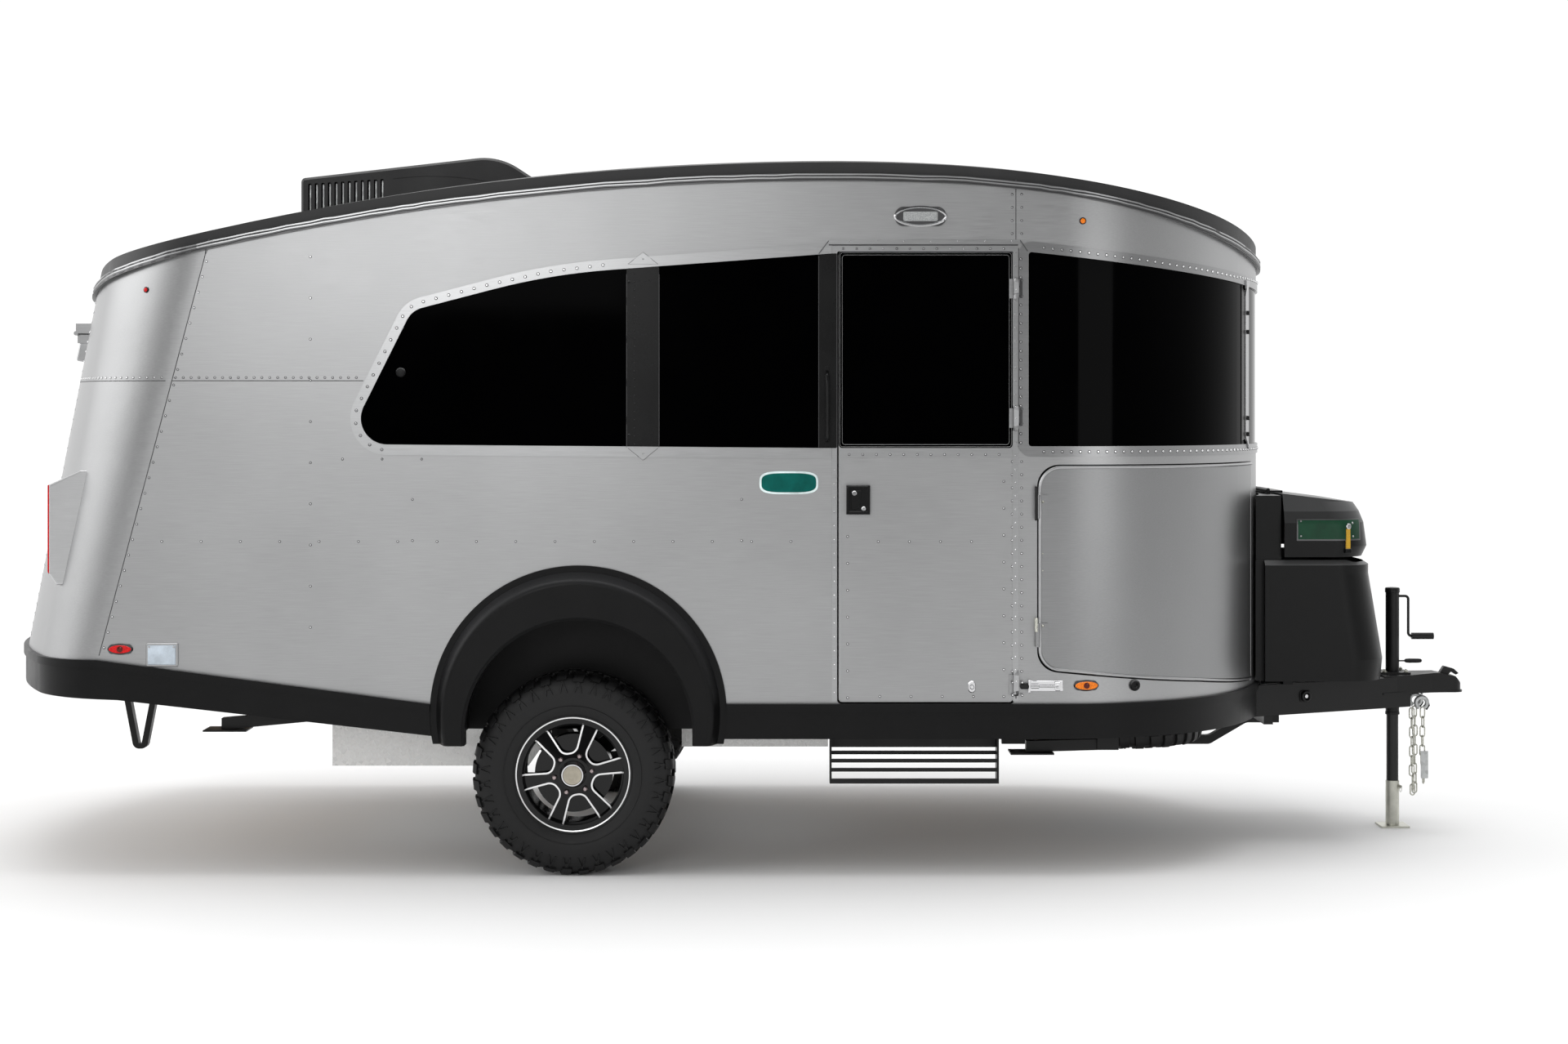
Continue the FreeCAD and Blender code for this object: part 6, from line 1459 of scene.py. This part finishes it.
def paint_leg():
    """The jack's leg: zinc on its drop tube and foot, black paint above."""
    look = Finish("leg", Specular_IOR_Level=0.4)
    height = look.add("SeparateXYZ", Vector=look.place).outputs["Z"]
    low_part = look.add("Math", {"operation": "LESS_THAN"}, at_0=height, at_1=SHOE_TOP_Z).outputs[0]
    stain = look.noise(14.0, 4.0, 0.6)
    paint = look.tinted(stain, PAINT, 0.8, 1.5)
    look.link(look.mix_colours(low_part, paint, look.tinted(stain, ZINC, 0.78, 1.12)), "Base Color")
    look.link(low_part, "Metallic")
    look.roughen(stain, 0.30, 0.42)
    look.bump((stain, 0.1, 0.001))
    nodes["jack_leg"].data.materials[0] = look.material


def make_jack_details():
    """Cap and collar of the jack, its plate's bolts and second handle, and the pin in its drop tube."""
    axis = Vector((JACK_X, 0, 0))
    black = Pile("jack_trim", "paint")
    black.turned(axis + UP * JACK_TOP_Z, UP, CAP_TURNING, 40)
    black.turned(axis + UP * COLLAR_Z, UP, COLLAR_TURNING, 40)
    black.turned(ROD_PLACE, AHEAD, [(0.0, 0.0030), (0.026, 0.0030)], 12)
    black.turned(GRIP_PLACE, AHEAD, GRIP_TURNING, 24)
    bolts = Pile("jack_bolts", "zinc")
    for x in SIDES:
        for y in SIDES:
            spot = axis + Vector((x * BOLT_REACH, y * BOLT_REACH, PLATE_TOP_Z))
            bolts.turned(spot, UP, BOLT_TURNING, 6)
            bolts.turned(spot, UP, [(0.009, 0.0042), (0.0125, 0.0042), (0.0130, 0.0034)], 14)
    pin = Pile("jack_pin", "zinc", "jack_leg")
    way = Vector((0.80, -0.60, 0)).normalized()
    spot = axis + UP * PIN_Z + way * TUBE_REACH
    pin.turned(spot, way, PIN_TURNING, 20)
    hang = spot + way * 0.010 - UP * PIN_RING
    pin.tube(circle(hang, Vector((0.60, 0.80, 0)), UP, PIN_RING, 24), 0.0012, 6, closed=True)


LINK_LENGTH = 0.053
LINK_WIDTH = 0.026
LINK_WIRE = 0.0031
LINK_STEPS = 8
CHAIN_STRANDS = ((2.811, -0.030, 0.512, 9), (2.837, 0.030, 0.512, 9), (2.863, 0.0, 0.512, 6))
CHAIN_SWAY = 0.0022
HOOK_CENTRE = (2.845, 0.534)
HOOK_RADIUS = 0.0235
HOOK_BAR = 0.0100
HOOK_Y = 0.052
HOOK_START = -62
HOOK_STEP = 14.5
HOOK_COUNT = 22
HOOK_EYE_RISE = 0.051
GATE_BENDS = ((0.026, 0.012), (0.032, -0.012), (0.020, -0.030))
TAG_PLACE = Vector((2.867, -0.016, 0.2645))
TAG_FACING = Vector((0.15, -1, 0)).normalized()
LOOSE_LINKS = ((2.823, -0.002, 0.176), (2.867, 0.0, 0.206))
LOOSE_LINK_WAY = Vector((0.5, 0.85, 0)).normalized()
EYE_PLACE = Vector((2.2925, -0.3191, 0.5937))
EYE_FACING = Vector((0.42, -0.91, 0)).normalized()


def add_link(pile, centre, across):
    """One round-bar chain link that hangs upright and is open in the plane of its across direction."""
    straight = (LINK_LENGTH - LINK_WIDTH) / 2
    bend = LINK_WIDTH / 2 - LINK_WIRE
    path = []
    for end in (1, -1):
        for index in range(LINK_STEPS + 1):
            angle = math.pi * index / LINK_STEPS
            path.append(centre + across * (bend * math.cos(angle) * end)
                        + Vector((0, 0, end * (straight + bend * math.sin(angle)))))
    pile.tube(path, LINK_WIRE, 8, closed=True)


def make_chains():
    """Two safety chains gathered into three strands, their hooks on the coupler's lower flange."""
    random.seed(4)
    chain = Pile("chain_links", "zinc", replaced="safety_chains")
    pitch = LINK_LENGTH - 4 * LINK_WIRE
    for x, y, top, count in CHAIN_STRANDS:
        for index in range(count):
            twist = math.radians(random.uniform(-16, 16) + (0 if index % 2 == 0 else 90))
            across = Vector((math.cos(twist), math.sin(twist), 0))
            sway = random.uniform(-CHAIN_SWAY, CHAIN_SWAY)
            add_link(chain, Vector((x + sway, y, top - LINK_LENGTH / 2 - index * pitch)), across)
    for place in LOOSE_LINKS:
        add_link(chain, Vector(place), LOOSE_LINK_WAY)
    hooks = Pile("chain_hooks", "galvanised")
    gates = Pile("hook_gates", "paint")
    for side in SIDES:
        centre = Vector((HOOK_CENTRE[0], side * HOOK_Y, HOOK_CENTRE[1]))
        angles = [math.radians(HOOK_START + index * HOOK_STEP) for index in range(HOOK_COUNT)]
        path = [centre + (AHEAD * math.cos(angle) + UP * math.sin(angle)) * HOOK_RADIUS for angle in angles]
        hooks.tube(path, HOOK_BAR, 12, reach=HOOK_BAR * 0.9)
        eye = centre + Vector((0.004, -side * HOOK_Y * 0.1, HOOK_EYE_RISE))
        hooks.tube([centre + UP * HOOK_RADIUS, eye], 0.005, 10)
        gates.tube([centre + Vector((x, 0, z)) for x, z in GATE_BENDS], 0.0045, 8)
    tag = Pile("chain_tag", "galvanised", smooth=False)
    tag.plate(TAG_PLACE, TAG_FACING, rectangle(0.0165, 0.0585, 0.003), 0.002, 0.0004, sink=0.0)


def make_drawbar_ring():
    """A round eye on a small plate on the outside of the drawbar, with its bright bolt."""
    out = EYE_FACING
    spot = cast(EYE_PLACE + out * 0.2, -out, chassis)[0]
    side, up = axes_of(out)
    plate = Pile("drawbar_eye", "paint")
    plate.plate(spot, out, rectangle(0.026, 0.023, 0.006), 0.004, 0.001)
    plate.tube(circle(spot + out * 0.010, side, up, 0.019, 28), 0.0052, 10, closed=True)
    bolt = Pile("drawbar_eye_bolt", "chrome")
    bolt.turned(spot, out, [(0.003, 0.0095), (0.010, 0.0095), (0.0115, 0.008)], 6)


paint_leg()
make_jack_details()
make_chains()
make_drawbar_ring()


# Roof unit

COOLER_HALF = 0.350
FIN_FIRST_X = -1.840
FIN_PITCH = 0.0272
FIN_SLOT = 0.014
FIN_COUNT = 12
FIN_LOW_Z = 2.604
FIN_TOP_Z = 2.712
FIN_RISE = 0.021
FIN_DEPTH = 0.018


def make_fins():
    """The silver heat-exchanger behind the roof unit's slots."""
    fins = Pile("cooler_fins", "galvanised", smooth=False)
    for side in SIDES:
        for index in range(FIN_COUNT):
            x = FIN_FIRST_X + index * FIN_PITCH + FIN_SLOT / 2
            top = FIN_TOP_Z + FIN_RISE * index / FIN_COUNT
            middle = Vector((x, side * (COOLER_HALF - FIN_DEPTH), (top + FIN_LOW_Z) / 2))
            fins.plate(middle, Vector((0, side, 0)), rectangle(0.0035, (top - FIN_LOW_Z) / 2, 0.001), 0.004,
                       0.001, sink=0.006)


make_fins()


# Spare wheel under the body

SPARE_PLACE = Vector((1.528, 0, 0.5035))
SPARE_DISH = [(-0.105, 0.205), (-0.095, 0.200), (-0.090, 0.180), (0.030, 0.176), (0.034, 0.090),
              (0.050, 0.070), (0.050, 0.040), (0.048, 0.036)]
SPARE_LIP = [(0.030, 0.170), (0.080, 0.190), (0.098, 0.203), (0.104, 0.213), (0.101, 0.215), (0.094, 0.206),
             (0.076, 0.196), (0.028, 0.180)]


def make_spare_details():
    """The spare has the same tyre as the wheels, over a plain dished steel rim."""
    down = -UP
    rim = Pile("spare_rim", "paint", replaced="spare_wheel")
    rim.turned(SPARE_PLACE, down, SPARE_DISH, 64)
    rim.turned(SPARE_PLACE, down, SPARE_LIP, BEAD_SIDES, closed=True)
    make_tyre("spare_tread", "trailer", "spare_wheel", SPARE_PLACE, Matrix.Rotation(-math.pi / 2, 4, "X"))


make_spare_details()


# Tail housing and the storage doors' hinges

HOUSING_Y = 0.320
HOUSING_Z = 2.030
STORAGE_STRAP_X = 1.0905
STORAGE_STRAPS = (("hinges", "paint", 1.492, 1.362), ("hinge_ends", "zinc", 0.991, 0.938))


def make_tail_housings():
    """A pale housing under each of the rear window's hinges."""
    housing = Pile("tail_housings", "trim", "rear_hatch")
    for side in SIDES:
        point, normal = cast(Vector((-FAR, side * HOUSING_Y, HOUSING_Z)), AHEAD)
        out = Vector((normal.x, 0, normal.z)).normalized()
        outline = rounded([(-0.072, -0.052, 0.006), (0.072, -0.052, 0.006), (0.072, 0.050, 0.012),
                           (-0.072, 0.050, 0.012)])
        housing.plate(point, out, outline, 0.028, 0.006, sink=0.012)


def make_storage_hinges():
    """The straps that show behind the storage doors' rear edges."""
    for side, name in SIDE_NAMES:
        for label, finish_name, top, low in STORAGE_STRAPS:
            pile = Pile(f"storage_{label}_{name}", finish_name, f"storage_door_{name}")
            point, normal = on_side(STORAGE_STRAP_X, (top + low) / 2, side)
            pile.plate(point, normal, rectangle(0.0055, (top - low) / 2, 0.002), 0.0045, 0.0012)


make_tail_housings()
make_storage_hinges()


# Stage and light

FLOOR_COLOUR = (0.86, 0.86, 0.86)
FLOOR_HALF = 30.0
DUSK = 0.12
BACKGROUND = 1.06
FADE_FROM = 5.0
FADE_TO = 12.0


def make_floor():
    """A pale floor that fades into the white background far out."""
    look = Finish("floor", Roughness=0.75, Specular_IOR_Level=0.2)
    look.tint(look.noise(0.6, 3.0), FLOOR_COLOUR, 0.99, 1.01)
    reach = look.add("VectorMath", {"operation": "LENGTH"}, at_0=look.place).outputs["Value"]
    fade = ramp(look.tree, reach, FADE_FROM, FADE_TO, 0.0, 1.0, {"interpolation_type": "SMOOTHSTEP"})
    glow = look.add("Emission", Color=(1, 1, 1, 1), Strength=BACKGROUND).outputs[0]
    blend = look.add("MixShader", at_0=fade, at_1=look.shader.outputs[0], at_2=glow).outputs[0]
    look.tree.links.new(blend, look.tree.nodes["Material Output"].inputs["Surface"])
    mesh = bpy.data.meshes.new("floor")
    corners = [(x * FLOOR_HALF, y * FLOOR_HALF, 0) for x, y in ((-1, -1), (1, -1), (1, 1), (-1, 1))]
    mesh.from_pydata(corners, [], [[0, 1, 2, 3]])
    mesh.materials.append(look.material)
    floor = bpy.data.objects.new("floor", mesh)
    scene.collection.objects.link(floor)


def make_world():
    """A white studio: pale behind the trailer and above it, dusky on the side the camera stands."""
    world = bpy.data.worlds.new("room")
    world.use_nodes = True
    tree = world.node_tree
    place = shader_node(tree, "TexCoord").outputs["Generated"]
    parts = shader_node(tree, "SeparateXYZ", Vector=place).outputs
    depth = ramp(tree, parts["Y"], -0.9, 0.25, DUSK, 1.0)
    height = ramp(tree, parts["Z"], 0.72, 0.97, 0.0, 1.3)
    flank = ramp(tree, parts["X"], -0.55, -0.92, DUSK, 1.0)
    lift = ramp(tree, parts["Z"], 0.05, 0.3, 0.75, 3.2)

    def combined(operation, first, second):
        return shader_node(tree, "Math", {"operation": operation}, at_0=first, at_1=second).outputs[0]

    level = combined("MAXIMUM", combined("MAXIMUM", depth, height), combined("MULTIPLY", flank, lift))
    background = tree.nodes["Background"]
    tree.links.new(level, background.inputs["Color"])
    background.inputs["Strength"].default_value = BACKGROUND
    scene.world = world


def add_area(name, place, target, width, height, power):
    data = bpy.data.lights.new(name, "AREA")
    data.shape = "RECTANGLE"
    data.size = width
    data.size_y = height
    data.energy = power
    light = bpy.data.objects.new(name, data)
    light.location = place
    light.rotation_euler = (Vector(target) - Vector(place)).to_track_quat("-Z", "Y").to_euler()
    scene.collection.objects.link(light)


def make_lights():
    add_area("overhead", (0, 0, 7.5), (0, 0, 0), 9, 5, 330)
    add_area("side", (-3.1, -13, 4.2), (-0.5, 0, 1.0), 4.0, 3.2, 198)
    add_area("low", (5.5, -9, 2.0), (2.4, 0, 0.8), 3, 2, 54)


make_floor()
make_world()
make_lights()
scene.view_settings.view_transform = "Standard"

# All pieces, and the end

for item in piles:
    item.build()
